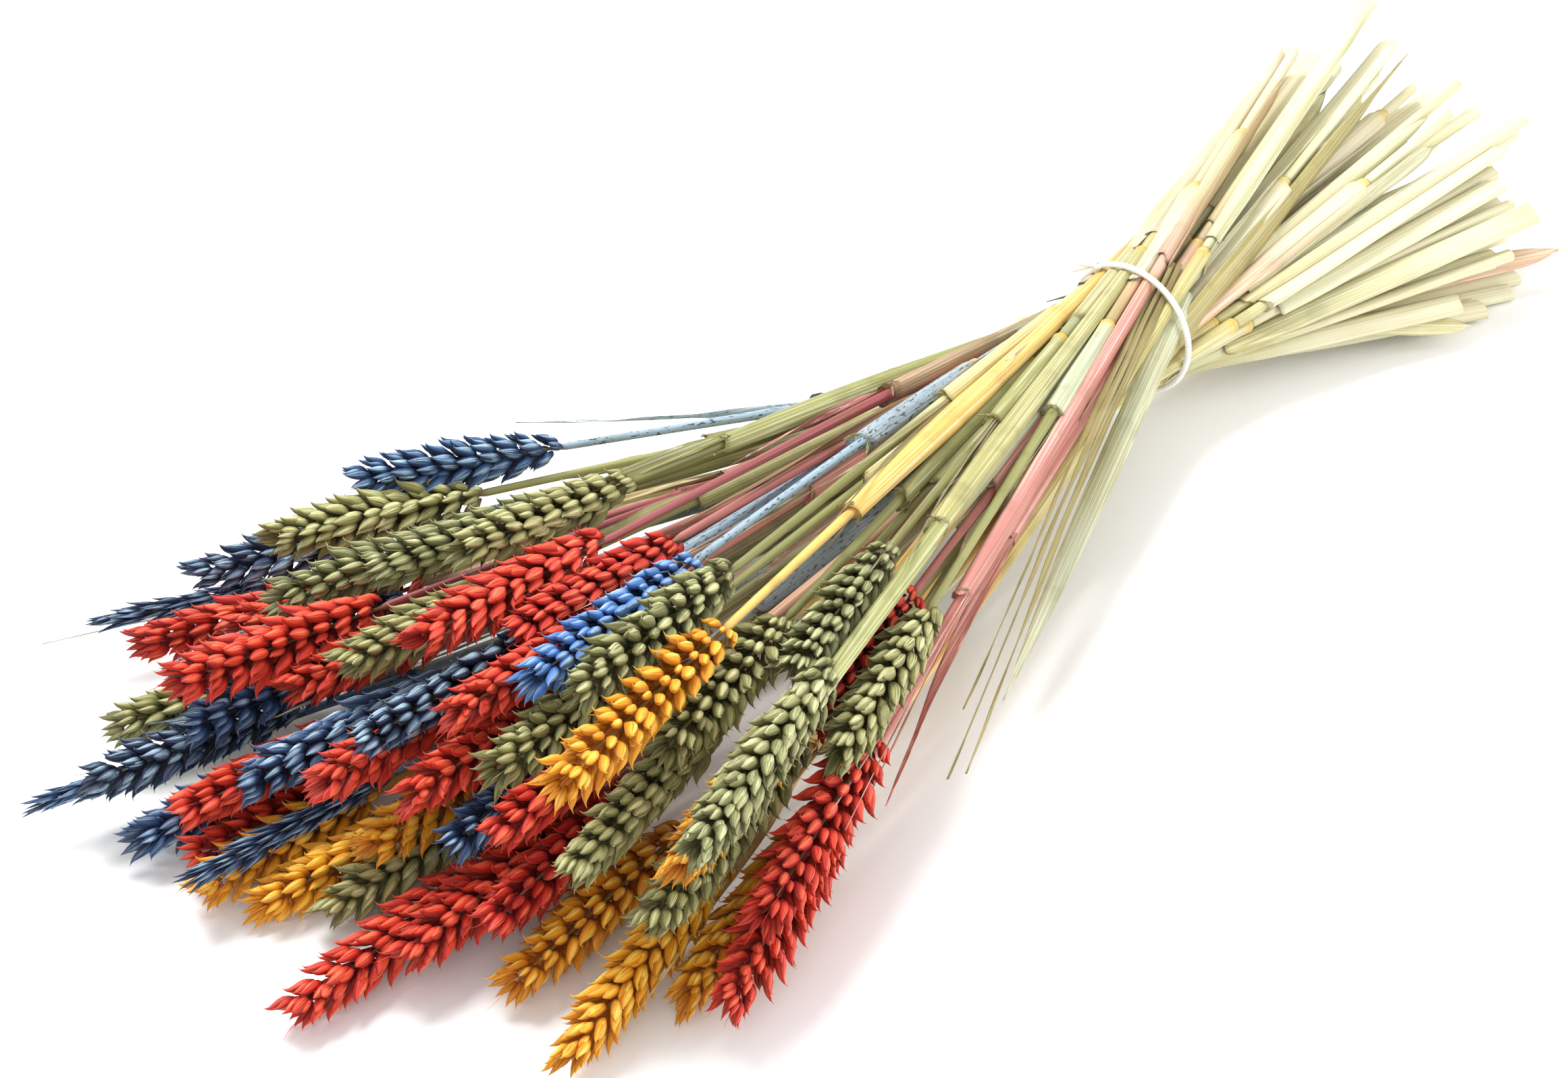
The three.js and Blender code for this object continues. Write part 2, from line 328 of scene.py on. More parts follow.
class Skin:
    """Collects closed lofts, with the values that their finish reads at each corner."""

    VALUES = ("dye", "tone", "hue", "pale", "veined", "withered", "golden")

    def __init__(self):
        self.places = []
        self.faces = []
        self.values = {name: [] for name in self.VALUES}

    def loft(self, sections, **values):
        """Joins sections with the same number of corners, and closes the first and the last."""
        rows, corners, _ = sections.shape
        start = sum(len(p) for p in self.places)
        self.places.append(sections.reshape(-1, 3))
        for name in self.VALUES:
            given = np.asarray(values.get(name, 0.0), float)
            if given.ndim == 1:
                given = given[:, None]
            self.values[name].append(np.broadcast_to(given, (rows, corners)).ravel())
        last = start + (rows - 1) * corners
        self.faces += ring_faces(rows, corners, start)
        self.faces.append(tuple(start + j for j in reversed(range(corners))))
        self.faces.append(tuple(last + j for j in range(corners)))

    def as_object(self, name):
        places = np.concatenate(self.places).tolist()
        values = {key: np.concatenate(rows) for key, rows in self.values.items()}
        return new_mesh(name, places, self.faces, **values)


def round_sections(stations, across, up, sides, roll=0.0):
    """Rings round the axis: one for each station, with its half-widths across and up."""
    turn = np.linspace(0, ROUND, sides, endpoint=False)
    y = np.outer(across, np.cos(turn))
    z = np.outer(up, np.sin(turn))
    c, s = math.cos(roll), math.sin(roll)
    x = np.repeat(np.asarray(stations, float)[:, None], sides, axis=1)
    return np.stack([x, c * y - s * z, s * y + c * z], axis=2)


# The stalks that are dyed all the way to the elastic, and beyond it.
SOAKED = ("blue_stalk_13", "amber_stalk_06", "coral_stalk_17", "coral_stalk_18")
SOAKED_FADE, SOAKED_TONE = 1.9, 0.15
FADES = (0.7, 0.85, 1.0, 1.25, 1.6)  # how far the dye reaches, in ways from neck to elastic
DYE_FULL, DYE_GONE = 0.3, 0.85  # where the dye starts to fade and is gone, along its reach
HUES = (0.0, 0.1, 0.15, 0.2, 0.28, 0.35, 0.42, 0.5, 0.58, 0.66, 0.72, 0.95)  # of undyed straw
# Limits that the places along a stalk are drawn between, in millimetres.
COLLAR_PAST_NECK = (25, 130)
JOINT_PAST_TIE = (-75, 50)
LOW_COLLAR_PAST_JOINT = (5, 30)
LOW_JOINT_PAST_COLLAR = (60, 330)
SHEATH_PAST_STRAW = (0.5, 7)
LEAST_FOOT = 14 * MM  # a low joint nearer to the cut end than this is left out


class Stalk:
    """Where everything lies along one straight stalk, drawn once from the stalk's own seed."""

    def __init__(self, node, seed):
        centres, radii = rings_of(node)
        self.path = Path(centres)
        self.draw = random.Random(seed)
        self.sizes = bpy.context.scene.wheat_straw
        self.tip = LEAD
        self.neck = self.path.distance_to(centres[EAR_RINGS - 1][0])
        self.cut = self.path.distance_to(centres[-1][0])
        self.tie = self.path.distance_to(TIE.x)
        self.fullness = float(radii[:EAR_RINGS].max()) / FULL_EAR
        self.collar = self.neck + self.within(COLLAR_PAST_NECK)
        self.joint = self.tie + self.within(JOINT_PAST_TIE)
        self.low_collar = self.joint + self.within(LOW_COLLAR_PAST_JOINT)
        self.low_joint = self.low_collar + self.within(LOW_JOINT_PAST_COLLAR)
        self.open_foot = self.low_joint > self.cut - LEAST_FOOT
        self.culm_end = self.cut - (self.within(SHEATH_PAST_STRAW) if self.open_foot else 0)
        self.fade = self.draw.choice(FADES)
        self.tone = self.draw.random()
        self.soaked = node in SOAKED
        if self.soaked:
            self.fade, self.tone = SOAKED_FADE, SOAKED_TONE
        middle = centres[len(centres) // 2]
        self.outward = math.atan2(middle[2] - TIE.z, middle[1] - TIE.y)

    def within(self, limits):
        """A length drawn between two limits in millimetres."""
        return self.draw.uniform(*limits) * MM

    def dye_at(self, s):
        """How strongly the dye shows: full under the ear, and on most stalks gone by the tie."""
        reach = self.fade * (self.tie - self.neck)
        return 1 - smoothstep(self.neck + DYE_FULL * reach, self.neck + DYE_GONE * reach, s)

    def paleness_at(self, s):
        """How far the straw has faded to cream, from just before the elastic to the cut."""
        return smoothstep(self.tie - 40 * MM, self.cut - 20 * MM, s)

    def hue(self):
        """One of the undyed straw's colours."""
        return self.draw.choice(HUES)

    def culm_radius(self, s):
        """The straw's radius, which grows from the neck to a little before the elastic."""
        thin, thick = self.sizes.neck_radius, self.sizes.culm_radius
        return thin + (thick - thin) * smoothstep(self.neck, self.tie - 60 * MM, s)


CULM_SIDES, SHEATH_SIDES = 10, 14
CULM_STEP, SHEATH_STEP = 14 * MM, 10 * MM
SWELLING = 3.5 * MM  # the length that a joint's shape is written in
JOINT_STATIONS = (-1.2, -0.8, -0.45, -0.1, 0.15, 0.4, 0.6, 0.9)  # round a joint, in swellings
AXIS_RADII = (0.25, 0.4, 0.6)  # millimetres, of the fine end of the straw inside the ear
CHAMFER = 0.15 * MM  # of the cut end's outer edge


def bump(distance, sharpness):
    """A hill that is 1 where the distance is 0."""
    return np.exp(-(distance**2) * sharpness)


def add_culm(skin, stalk):
    """The straw itself, from inside the ear to its hollow cut end, swollen at its joints."""
    sizes, draw, end = stalk.sizes, stalk.draw, stalk.culm_end
    joints = [stalk.joint] if stalk.open_foot else [stalk.joint, stalk.low_joint]
    stations = [stalk.tip + 16 * MM, stalk.tip + 22 * MM, stalk.neck - 4 * MM]
    stations += list(np.arange(stalk.neck, end - 6 * MM, CULM_STEP))
    for joint in joints:
        stations += [joint + k * SWELLING for k in JOINT_STATIONS]
    stations = np.array(sorted(s for s in stations if s < end - 5 * MM) + [end])
    radii = stalk.culm_radius(stations)
    radii[: len(AXIS_RADII)] = np.array(AXIS_RADII) * MM
    withered = 0.7 * (stations < stalk.neck - 2 * MM)
    golden = np.zeros(len(stations))
    for joint in joints:
        # A swelling, the narrow ring next to it, its gold and a brown line.
        near = (stations - joint) / SWELLING
        radii *= 1 + 0.42 * bump(near + 0.1, 6) - 0.12 * bump(near - 0.6, 20)
        golden = np.maximum(golden, bump(near + 0.1, 3))
        withered = np.maximum(withered, 0.8 * bump(near - 0.42, 60))
    # Over the cut's chamfered rim and down into the hollow. The cut face turns slightly brown, as
    # the cut edge's own colour, and the inner wall grows browner with depth as painted shade inside
    # the straw.
    rim = radii[-1] - sizes.wall
    stations = np.append(stations, [end + CHAMFER, end, end - sizes.hollow])
    radii = np.append(radii, [radii[-1] - CHAMFER, rim, rim])
    withered = np.append(withered, [0.05, 0.25, 0.8])
    golden = np.append(golden, [0, 0, 0])
    sections = round_sections(stations, radii, radii, CULM_SIDES)
    cut = sections[-4:-1]
    cut[:, :, 0] += draw.uniform(-1, 1) * cut[:, :, 1] + draw.uniform(-1, 1) * cut[:, :, 2]
    skin.loft(
        sections,
        dye=stalk.dye_at(stations),
        tone=stalk.tone,
        hue=stalk.hue(),
        pale=stalk.paleness_at(stations),
        veined=0.2,
        withered=withered,
        golden=golden,
    )


def add_sheath(skin, stalk, collar, foot, flat, is_cut):
    """A leaf sheath wrapped round the straw, from its collar to the joint it grows from, or to
    where it is cut off. Beyond the elastic it is pressed flat."""
    sizes, draw = stalk.sizes, stalk.draw
    # It is rolled in at its collar, and at its cut foot it turns back inside its own wall.
    mouth = [collar + 1.2 * MM, collar, collar + 0.9 * MM]
    tube = np.linspace(
        collar + 2.5 * MM, foot - 4 * MM, max(5, int((foot - collar) / SHEATH_STEP))
    )
    if is_cut:
        last = [foot - 0.4 * MM, foot, foot - 0.2 * MM, foot - 6 * MM]
    else:
        last = [foot - 1.5 * MM, foot]
    stations = np.concatenate([mouth, tube, last])
    culm = stalk.culm_radius(stations)
    before = smoothstep(stalk.tie - 25 * MM, stalk.tie - 110 * MM, stations)
    after = smoothstep(stalk.tie + 15 * MM, stalk.tie + 80 * MM, stations)
    # It is wider before the elastic, narrows towards the ear, and spreads beyond the elastic.
    width = sizes.sheath_radius * (1 + (sizes.sheath_bulge - 1) * before)
    width *= 1 - 0.3 * smoothstep(stalk.tie - 120 * MM, stalk.neck, stations)
    wobble = 0.05 * np.sin(stations * draw.uniform(60, 110) + draw.uniform(0, 6))
    across = width * (1 + wobble + 0.12 * before + flat * after)
    up = np.maximum(width * (0.9 - wobble - 0.14 * before - 0.25 * after), culm * 1.12)
    # Its ends meet the straw, the cut one as a wall of its own.
    across[0] = up[0] = culm[0] * 0.9
    across[1] = across[2] * 1.1
    up[1] = up[2] * 1.1
    if is_cut:
        across[-2:] = across[-4] - sizes.wall * 0.7
        up[-2:] = up[-4] - sizes.wall * 0.7
    else:
        across[-2:] = culm[-2:] * np.array([1.36, 1.02])
        up[-2:] = culm[-2:] * np.array([1.34, 1.02])
    roll = draw.uniform(0, math.pi) if flat < 0.1 else draw.uniform(-0.6, 0.6)
    sections = round_sections(stations, across, up, SHEATH_SIDES, roll)
    # The collar is torn: its edge runs up and down round the straw.
    turn = np.linspace(0, ROUND, SHEATH_SIDES, endpoint=False)
    slant = draw.uniform(1.0, 4.0) * MM
    tear = np.cos(turn - draw.uniform(0, 6)) + 0.35 * np.sin(3 * turn + draw.uniform(0, 6))
    tear *= slant
    near_collar = bump((stations - collar) / (5 * MM), 1)
    sections[1:, :, 0] += np.outer(near_collar[1:], tear)
    if is_cut:
        sections[-4:-1, :, 0] += 0.3 * tear + draw.uniform(-0.5, 0.5) * sections[-4:-1, :, 1]
    browned = (0.25 + 0.5 * stalk.tone) * bump((stations - collar) / (1.3 * MM), 1)
    skin.loft(
        sections,
        dye=stalk.dye_at(stations) * (1.0 if stalk.soaked else draw.choice((0.1, 0.5, 0.8, 0.95))),
        tone=stalk.tone * 0.5,
        hue=stalk.hue(),
        pale=0.9 * stalk.paleness_at(stations) + draw.uniform(0, 0.3),
        veined=1,
        withered=browned + draw.choice((0, 0, 0.05, 0.15)),
        golden=0.0 if is_cut else bump((stations - foot) / (3 * MM), 1),
    )


# Corners round a blade's section: how far across, and how far out on which face.
BLADE_ACROSS = np.array([-1, -0.5, 0, 0.5, 1, 1, 0.5, 0, -0.5, -1])
BLADE_SIDE = np.array([0.4, 1, 1.2, 1, 0.4, -0.4, -1, -1, -1, -0.4])


def add_ribbon(skin, ribbon, **values):
    """A dry blade: a thin folded strip that twists away from the stalk."""
    t = np.linspace(0, 1, ribbon["steps"])
    zero = np.zeros_like(t)
    s = ribbon["start"] + ribbon["reach"] * t
    lie = ribbon["angle"] + ribbon["drift"] * t
    sway = ribbon["sway"] * np.sin(5 * t + ribbon["angle"]) * t
    out = ribbon["radius"] + ribbon["rise"] * t ** ribbon["bend"] + sway
    turn = ribbon["twist"] * t + ribbon["turned"]
    taper = np.clip(1 - t ** ribbon["point"], 0.05, 1) * (0.62 + 0.38 * np.clip(t / 0.15, 0, 1))
    half = ribbon["width"] / 2 * taper
    outward = np.stack([zero, np.cos(lie), np.sin(lie)], axis=1)
    sideways = np.stack([zero, -np.sin(lie), np.cos(lie)], axis=1)
    wide = np.cos(turn)[:, None] * sideways + np.sin(turn)[:, None] * outward
    thin = -np.sin(turn)[:, None] * sideways + np.cos(turn)[:, None] * outward
    centre = np.stack([s, zero, zero], axis=1) + out[:, None] * outward
    thickness = bpy.context.scene.wheat_straw.ribbon_thickness
    corners = []
    for u, side in zip(BLADE_ACROSS, BLADE_SIDE):
        crimp = ribbon["crimp"] * np.sin(ribbon["waves"] * t + 2.2 * u) * abs(u)
        lift = ribbon["fold"] * (abs(u) - 0.5) * half + crimp + side * thickness / 2
        corners.append(centre + (u * half)[:, None] * wide + lift[:, None] * thin)
    sections = np.stack(corners, axis=1)
    ragged = np.sin(3.7 * BLADE_ACROSS + ribbon["angle"])
    sections[-1, :, 0] += ribbon["width"] * 0.25 * ragged
    skin.loft(sections, veined=1, **values)


def ribbon_along(stalk, start, reach, **changes):
    """A blade beside a stalk, with small differences of its own and the given changes."""
    draw = stalk.draw
    ribbon = {
        "start": start,
        "reach": reach,
        "steps": 26,
        "angle": stalk.outward + draw.uniform(-1.1, 1.1),
        "drift": draw.uniform(-1.2, 1.2),
        "radius": 2.3 * MM,
        "rise": draw.uniform(1, 9) * MM,
        "bend": 1.4,
        "sway": draw.uniform(0, 1.2) * MM,
        "twist": draw.uniform(-7, 7),
        "turned": draw.uniform(-0.5, 0.5),
        "width": draw.uniform(2.2, 5.5) * MM,
        "point": 2.6,
        "fold": draw.uniform(0.1, 0.9),
        "crimp": draw.uniform(0, 0.35) * MM,
        "waves": draw.uniform(12, 30),
    }
    ribbon.update(changes)
    return ribbon


def add_trailing_blade(skin, stalk, collar, longest):
    """A withered blade that hangs on at a collar and trails along the stalk towards its ear,
    sometimes split into strips."""
    draw = stalk.draw
    reach = -draw.uniform(0.35, 1) * longest
    strips = draw.choice((1, 1, 1, 3))
    ribbon = ribbon_along(stalk, collar + 1.5 * MM, reach)
    looks = {
        "dye": float(stalk.dye_at(collar)) * draw.uniform(0.1, 0.8),
        "tone": stalk.tone,
        "hue": stalk.hue(),
        "pale": float(stalk.paleness_at(collar)) + draw.uniform(0, 0.3),
        "withered": draw.choice((0.0, 0.05, 0.2, 0.75)),
    }
    for k in range(strips):
        strip = dict(ribbon)
        if strips > 1:
            strip["width"] /= strips
            strip["angle"] += 0.35 * k
            strip["drift"] += 0.5 * (k - 1)
            strip["reach"] *= draw.uniform(0.7, 1)
        add_ribbon(skin, strip, **looks)


def add_auricles(skin, stalk, collar):
    """The two small hooks at a sheath's collar."""
    for side in (-1, 1):
        hook = ribbon_along(
            stalk,
            collar + 1 * MM,
            -stalk.draw.uniform(2, 5) * MM,
            steps=7,
            angle=stalk.outward + side * 0.8,
            drift=side * 0.9,
            radius=2.6 * MM,
            rise=stalk.draw.uniform(0.8, 2.6) * MM,
            sway=0,
            width=1.5 * MM,
        )
        add_ribbon(skin, hook, hue=0.3, withered=stalk.draw.uniform(0.2, 0.8))


def add_cut_blade(skin, stalk):
    """A wide dry blade that follows the stalk from the elastic to the cut end."""
    draw = stalk.draw
    start = stalk.tie + draw.uniform(12, 50) * MM
    blade = ribbon_along(
        stalk,
        start,
        stalk.cut - start - draw.uniform(-3, 45) * MM,
        drift=draw.uniform(-0.6, 0.6),
        radius=2.5 * MM,
        rise=draw.uniform(0, 3.5) * MM,
        bend=1.0,
        twist=draw.uniform(-0.9, 0.9),
        width=draw.uniform(4.5, 9) * MM,
        point=draw.choice((6, 12, 30)),
        fold=draw.uniform(-0.2, 0.5),
    )
    add_ribbon(
        skin,
        blade,
        tone=stalk.tone,
        hue=stalk.hue(),
        pale=draw.uniform(0.45, 0.95),
        withered=draw.choice((0, 0, 0.05, 0.12)),
    )


# The chance of a trailing blade and its longest reach, at the upper and at the low collar.
TRAILING_BLADES = ((0.75, 130 * MM), (0.5, 80 * MM))
CUT_BLADE_CHANCE = 0.65
FLATTENED = (0.15, 1.0)  # limits of how flat a low sheath is pressed


def straight_straw(stalk, name):
    """The straw with its sheaths and withered blades."""
    skin = Skin()
    draw = stalk.draw
    add_culm(skin, stalk)
    add_sheath(skin, stalk, stalk.collar, stalk.joint, 0.0, False)
    add_auricles(skin, stalk, stalk.collar)
    low_foot = stalk.cut if stalk.open_foot else stalk.low_joint
    flat = draw.uniform(*FLATTENED)
    add_sheath(skin, stalk, stalk.low_collar, low_foot, flat, stalk.open_foot)
    for collar, (chance, longest) in zip((stalk.collar, stalk.low_collar), TRAILING_BLADES):
        if draw.random() < chance:
            add_trailing_blade(skin, stalk, collar, longest)
    if draw.random() < CUT_BLADE_CHANCE:
        add_cut_blade(skin, stalk)
    return skin.as_object(name)


# ---------------------------------------------------------------------------------------------
# The scales of an ear
# ---------------------------------------------------------------------------------------------

# A scale's outline from foot to tip: how far along, half-width, depth and how far it leans out.
GLUME_OUTLINE = (
    (0.00, 0.34, 0.40, 0.00),
    (0.13, 0.72, 0.78, 0.03),
    (0.33, 0.98, 1.00, 0.05),
    (0.55, 1.00, 0.98, 0.06),
    (0.74, 0.80, 0.74, 0.06),
    (0.86, 0.36, 0.40, 0.08),
    (0.94, 0.12, 0.17, 0.12),
)
LEMMA_OUTLINE = (
    (0.00, 0.34, 0.40, 0.00),
    (0.12, 0.74, 0.82, 0.03),
    (0.30, 1.00, 1.00, 0.05),
    (0.49, 0.94, 0.94, 0.05),
    (0.66, 0.68, 0.70, 0.05),
    (0.80, 0.36, 0.40, 0.07),
    (0.91, 0.12, 0.16, 0.12),
)
SCALE_TIP = 0.22  # how far the tip leans out, for each length of the scale
# Corners round a scale's section: how far across, and how deep they bulge out.
SCALE_ACROSS = (-1, -0.84, -0.45, 0, 0.45, 0.84, 1, 0)
GLUME_DEPTH = (0, 0.42, 0.8, 1.12, 0.8, 0.42, 0, -0.22)
LEMMA_DEPTH = (0, 0.5, 0.9, 1.02, 0.9, 0.5, 0, -0.4)
# A bristle's outline: how far along, its thickness and how far it leans out.
AWN_OUTLINE = ((0, 1, 0), (0.3, 0.8, 0.02), (0.65, 0.5, 0.0), (1, 0.12, 0.05))
AWN_RADIUS = 0.16 * MM
AWN_LIE = (0.6, 1, 0)  # a bristle is coloured like this place on a scale


def scale_shape(kind, outline, depths):
    """One scale: it stands on its foot along +Z and bulges towards +X. Its lie says how far a
    corner is from the middle line and from the foot, and if it is on the hollow side."""
    sizes = bpy.context.scene.wheat_ear
    size, width, depth = (getattr(sizes, f"{kind}_{of}") for of in ("length", "width", "depth"))
    places, lies = [], []
    for along, half, deep, lean in outline:
        for across, out in zip(SCALE_ACROSS, depths):
            bulge = lean * size + out * deep * depth
            places.append((bulge, across * half * width / 2, along * size))
            lies.append((abs(across), along, 1 if out < 0 else 0))
    tip = len(places)
    places.append((SCALE_TIP * size, 0, size))
    lies.append((0, 1, 0))
    corners = len(SCALE_ACROSS)
    last = tip - corners
    faces = [tuple(reversed(range(corners))), *ring_faces(len(outline), corners)]
    faces += [(last + j, last + (j + 1) % corners, tip) for j in range(corners)]
    return new_mesh(f"{kind}_shape", places, faces, lie=lies)


def awn_shape():
    """A bristle: a long three-sided spike, a little bowed."""
    size = bpy.context.scene.wheat_ear.awn_length
    places = []
    for along, half, lean in AWN_OUTLINE:
        for k in range(3):
            turn = ROUND * k / 3
            radius = AWN_RADIUS * half
            out = lean * size + radius * math.cos(turn)
            places.append((out, radius * math.sin(turn), along * size))
    faces = [(2, 1, 0), (9, 10, 11), *ring_faces(len(AWN_OUTLINE), 3)]
    return new_mesh("awn_shape", places, faces, lie=[AWN_LIE] * len(places))


# ---------------------------------------------------------------------------------------------
# Geometry Nodes
# ---------------------------------------------------------------------------------------------


def typed(sockets, kind):
    """Sockets of one type by name, for the nodes that repeat a name once for each type."""
    return {socket.name: socket for socket in sockets if socket.type == kind}


class Nodes:
    """Adds linked nodes to a tree: what Geometry Nodes and finishes have in common."""

    def __init__(self, tree):
        self.tree = tree

    def feed(self, socket, value):
        """Links a socket to another one, or gives it a plain value."""
        if isinstance(value, bpy.types.NodeSocket):
            self.tree.links.new(value, socket)
        elif socket.type == "RGBA":
            socket.default_value = (*value, 1)
        else:
            socket.default_value = value

    def node(self, kind, inputs, output=0, **settings):
        """A node with its settings and inputs. Returns an output socket, or all for None."""
        made = self.tree.nodes.new(kind)
        for key, value in settings.items():
            setattr(made, key, value)
        for key, value in inputs.items():
            self.feed(made.inputs[key], value)
        return made.outputs if output is None else made.outputs[output]

    def math(self, operation, a, b=0.0, c=0.0):
        return self.node("ShaderNodeMath", {0: a, 1: b, 2: c}, operation=operation)

    def times(self, a, b):
        return self.math("MULTIPLY", a, b)

    def eased(self, value, low, high, start=0.0, end=1.0):
        """Goes smoothly from start to end while the value goes from low to high."""
        return self.node(
            "ShaderNodeMapRange",
            {"Value": value, "From Min": low, "From Max": high, "To Min": start, "To Max": end},
            interpolation_type="SMOOTHSTEP",
        )

    def combined(self, x, y, z):
        return self.node("ShaderNodeCombineXYZ", {0: x, 1: y, 2: z})

    def separated(self, vector):
        return self.node("ShaderNodeSeparateXYZ", {0: vector}, None)


class Tree(Nodes):
    """Builds a Geometry Nodes tree with named inputs."""

    def __init__(self, name):
        super().__init__(bpy.data.node_groups.new(name, "GeometryNodeTree"))
        self.sockets = self.tree.interface
        self.sockets.new_socket("Geometry", in_out="OUTPUT", socket_type="NodeSocketGeometry")
        self.inputs = self.tree.nodes.new("NodeGroupInput")
        self.output = self.tree.nodes.new("NodeGroupOutput")

    def input(self, name, kind="Float"):
        """A named input of the tree, as a socket to link from."""
        self.sockets.new_socket(name, in_out="INPUT", socket_type="NodeSocket" + kind)
        return self.inputs.outputs[name]

    def call(self, group, **inputs):
        """Another tree as a node of this one."""
        given = {key.replace("_", " "): value for key, value in inputs.items()}
        return self.node("GeometryNodeGroup", given, node_tree=group)

    def compared(self, operation, a, b):
        return self.node(
            "FunctionNodeCompare", {0: a, 1: b}, data_type="FLOAT", operation=operation
        )

    def vector(self, operation, a, b=(0, 0, 0)):
        return self.node("ShaderNodeVectorMath", {0: a, 1: b}, operation=operation)

    def scaled(self, vector, by):
        return self.node("ShaderNodeVectorMath", {0: vector, "Scale": by}, operation="SCALE")

    def total(self, first, *others):
        for other in others:
            first = self.vector("ADD", first, other)
        return first

    def joined(self, *parts):
        made = self.tree.nodes.new("GeometryNodeJoinGeometry")
        for part in reversed(parts):
            self.tree.links.new(part, made.inputs[0])
        return made.outputs[0]

    def stored(self, geometry, name, value, kind="FLOAT", domain="POINT"):
        return self.node(
            "GeometryNodeStoreNamedAttribute",
            {"Geometry": geometry, "Name": name, "Value": value},
            data_type=kind,
            domain=domain,
        )

    def named(self, name, kind="FLOAT"):
        return self.node("GeometryNodeInputNamedAttribute", {"Name": name}, data_type=kind)

    def random(self, low, high, seed, step=0):
        """A number between low and high for each element, from the seed some steps on."""
        made = self.tree.nodes.new("FunctionNodeRandomValue")
        made.data_type = "FLOAT"
        ends = typed(made.inputs, "VALUE")
        self.feed(ends["Min"], low)
        self.feed(ends["Max"], high)
        self.feed(made.inputs["Seed"], self.math("ADD", seed, step) if step else seed)
        return typed(made.outputs, "VALUE")["Value"]

    def jitter(self, by, seed, step=0):
        """A number that strays from 0 by so much at most, either way."""
        return self.random(-by, by, seed, step)

    def realized(self, geometry):
        return self.node("GeometryNodeRealizeInstances", {"Geometry": geometry})

    def painted(self, geometry, finish, selection=True):
        inputs = {"Geometry": geometry, "Selection": selection, "Material": finish}
        return self.node("GeometryNodeSetMaterial", inputs)

    def finish(self, geometry):
        self.tree.links.new(geometry, self.output.inputs[0])
        return self.tree


FAR_BELOW = -10.0  # a limit that no place in the bunch comes near


def bend_group():
    """Bends a straight model along a path: X becomes the distance along it. What would sink
    into the table is pressed up onto it."""
    tree = Tree("Bend along a path")
    geometry = tree.input("Straight model", "Geometry")
    path = tree.input("Path", "Object")
    curve = tree.node(
        "GeometryNodeObjectInfo", {"Object": path}, "Geometry", transform_space="ORIGINAL"
    )
    place = tree.node("GeometryNodeInputPosition", {})
    marked = tree.stored(geometry, "grain", place, "FLOAT_VECTOR")
    x, y, z = tree.separated(place)
    sample = tree.node(
        "GeometryNodeSampleCurve", {"Curves": curve, "Length": x}, None, mode="LENGTH"
    )
    along = sample["Tangent"]
    side = tree.vector("NORMALIZE", tree.vector("CROSS_PRODUCT", (0, 0, 1), along))
    up = tree.vector("CROSS_PRODUCT", along, side)
    offset = tree.total(tree.scaled(side, y), tree.scaled(up, z))
    bent = tree.total(sample["Position"], offset)
    above = tree.vector("MAXIMUM", bent, (FAR_BELOW, FAR_BELOW, TABLE_GAP))
    moved = tree.node("GeometryNodeSetPosition", {"Geometry": marked, "Position": above})
    return tree.finish(moved)


TO_TIP = (-1, 0, 0)  # the way from a straight stalk's cut end to its ear's tip
# How far the scales stray, in radians, and how small and large they are.
LEAN_JITTER, FAN_JITTER, FACE_JITTER = 0.13, 0.13, 0.25
SMALL, LARGE = 0.86, 1.1
# Steps from a rank's own seed to the seed of each random value.
FAN_STEP, FACE_STEP, SIZE_STEP, KEEP_STEP, TINT_STEP = 11, 23, 37, 51, 71


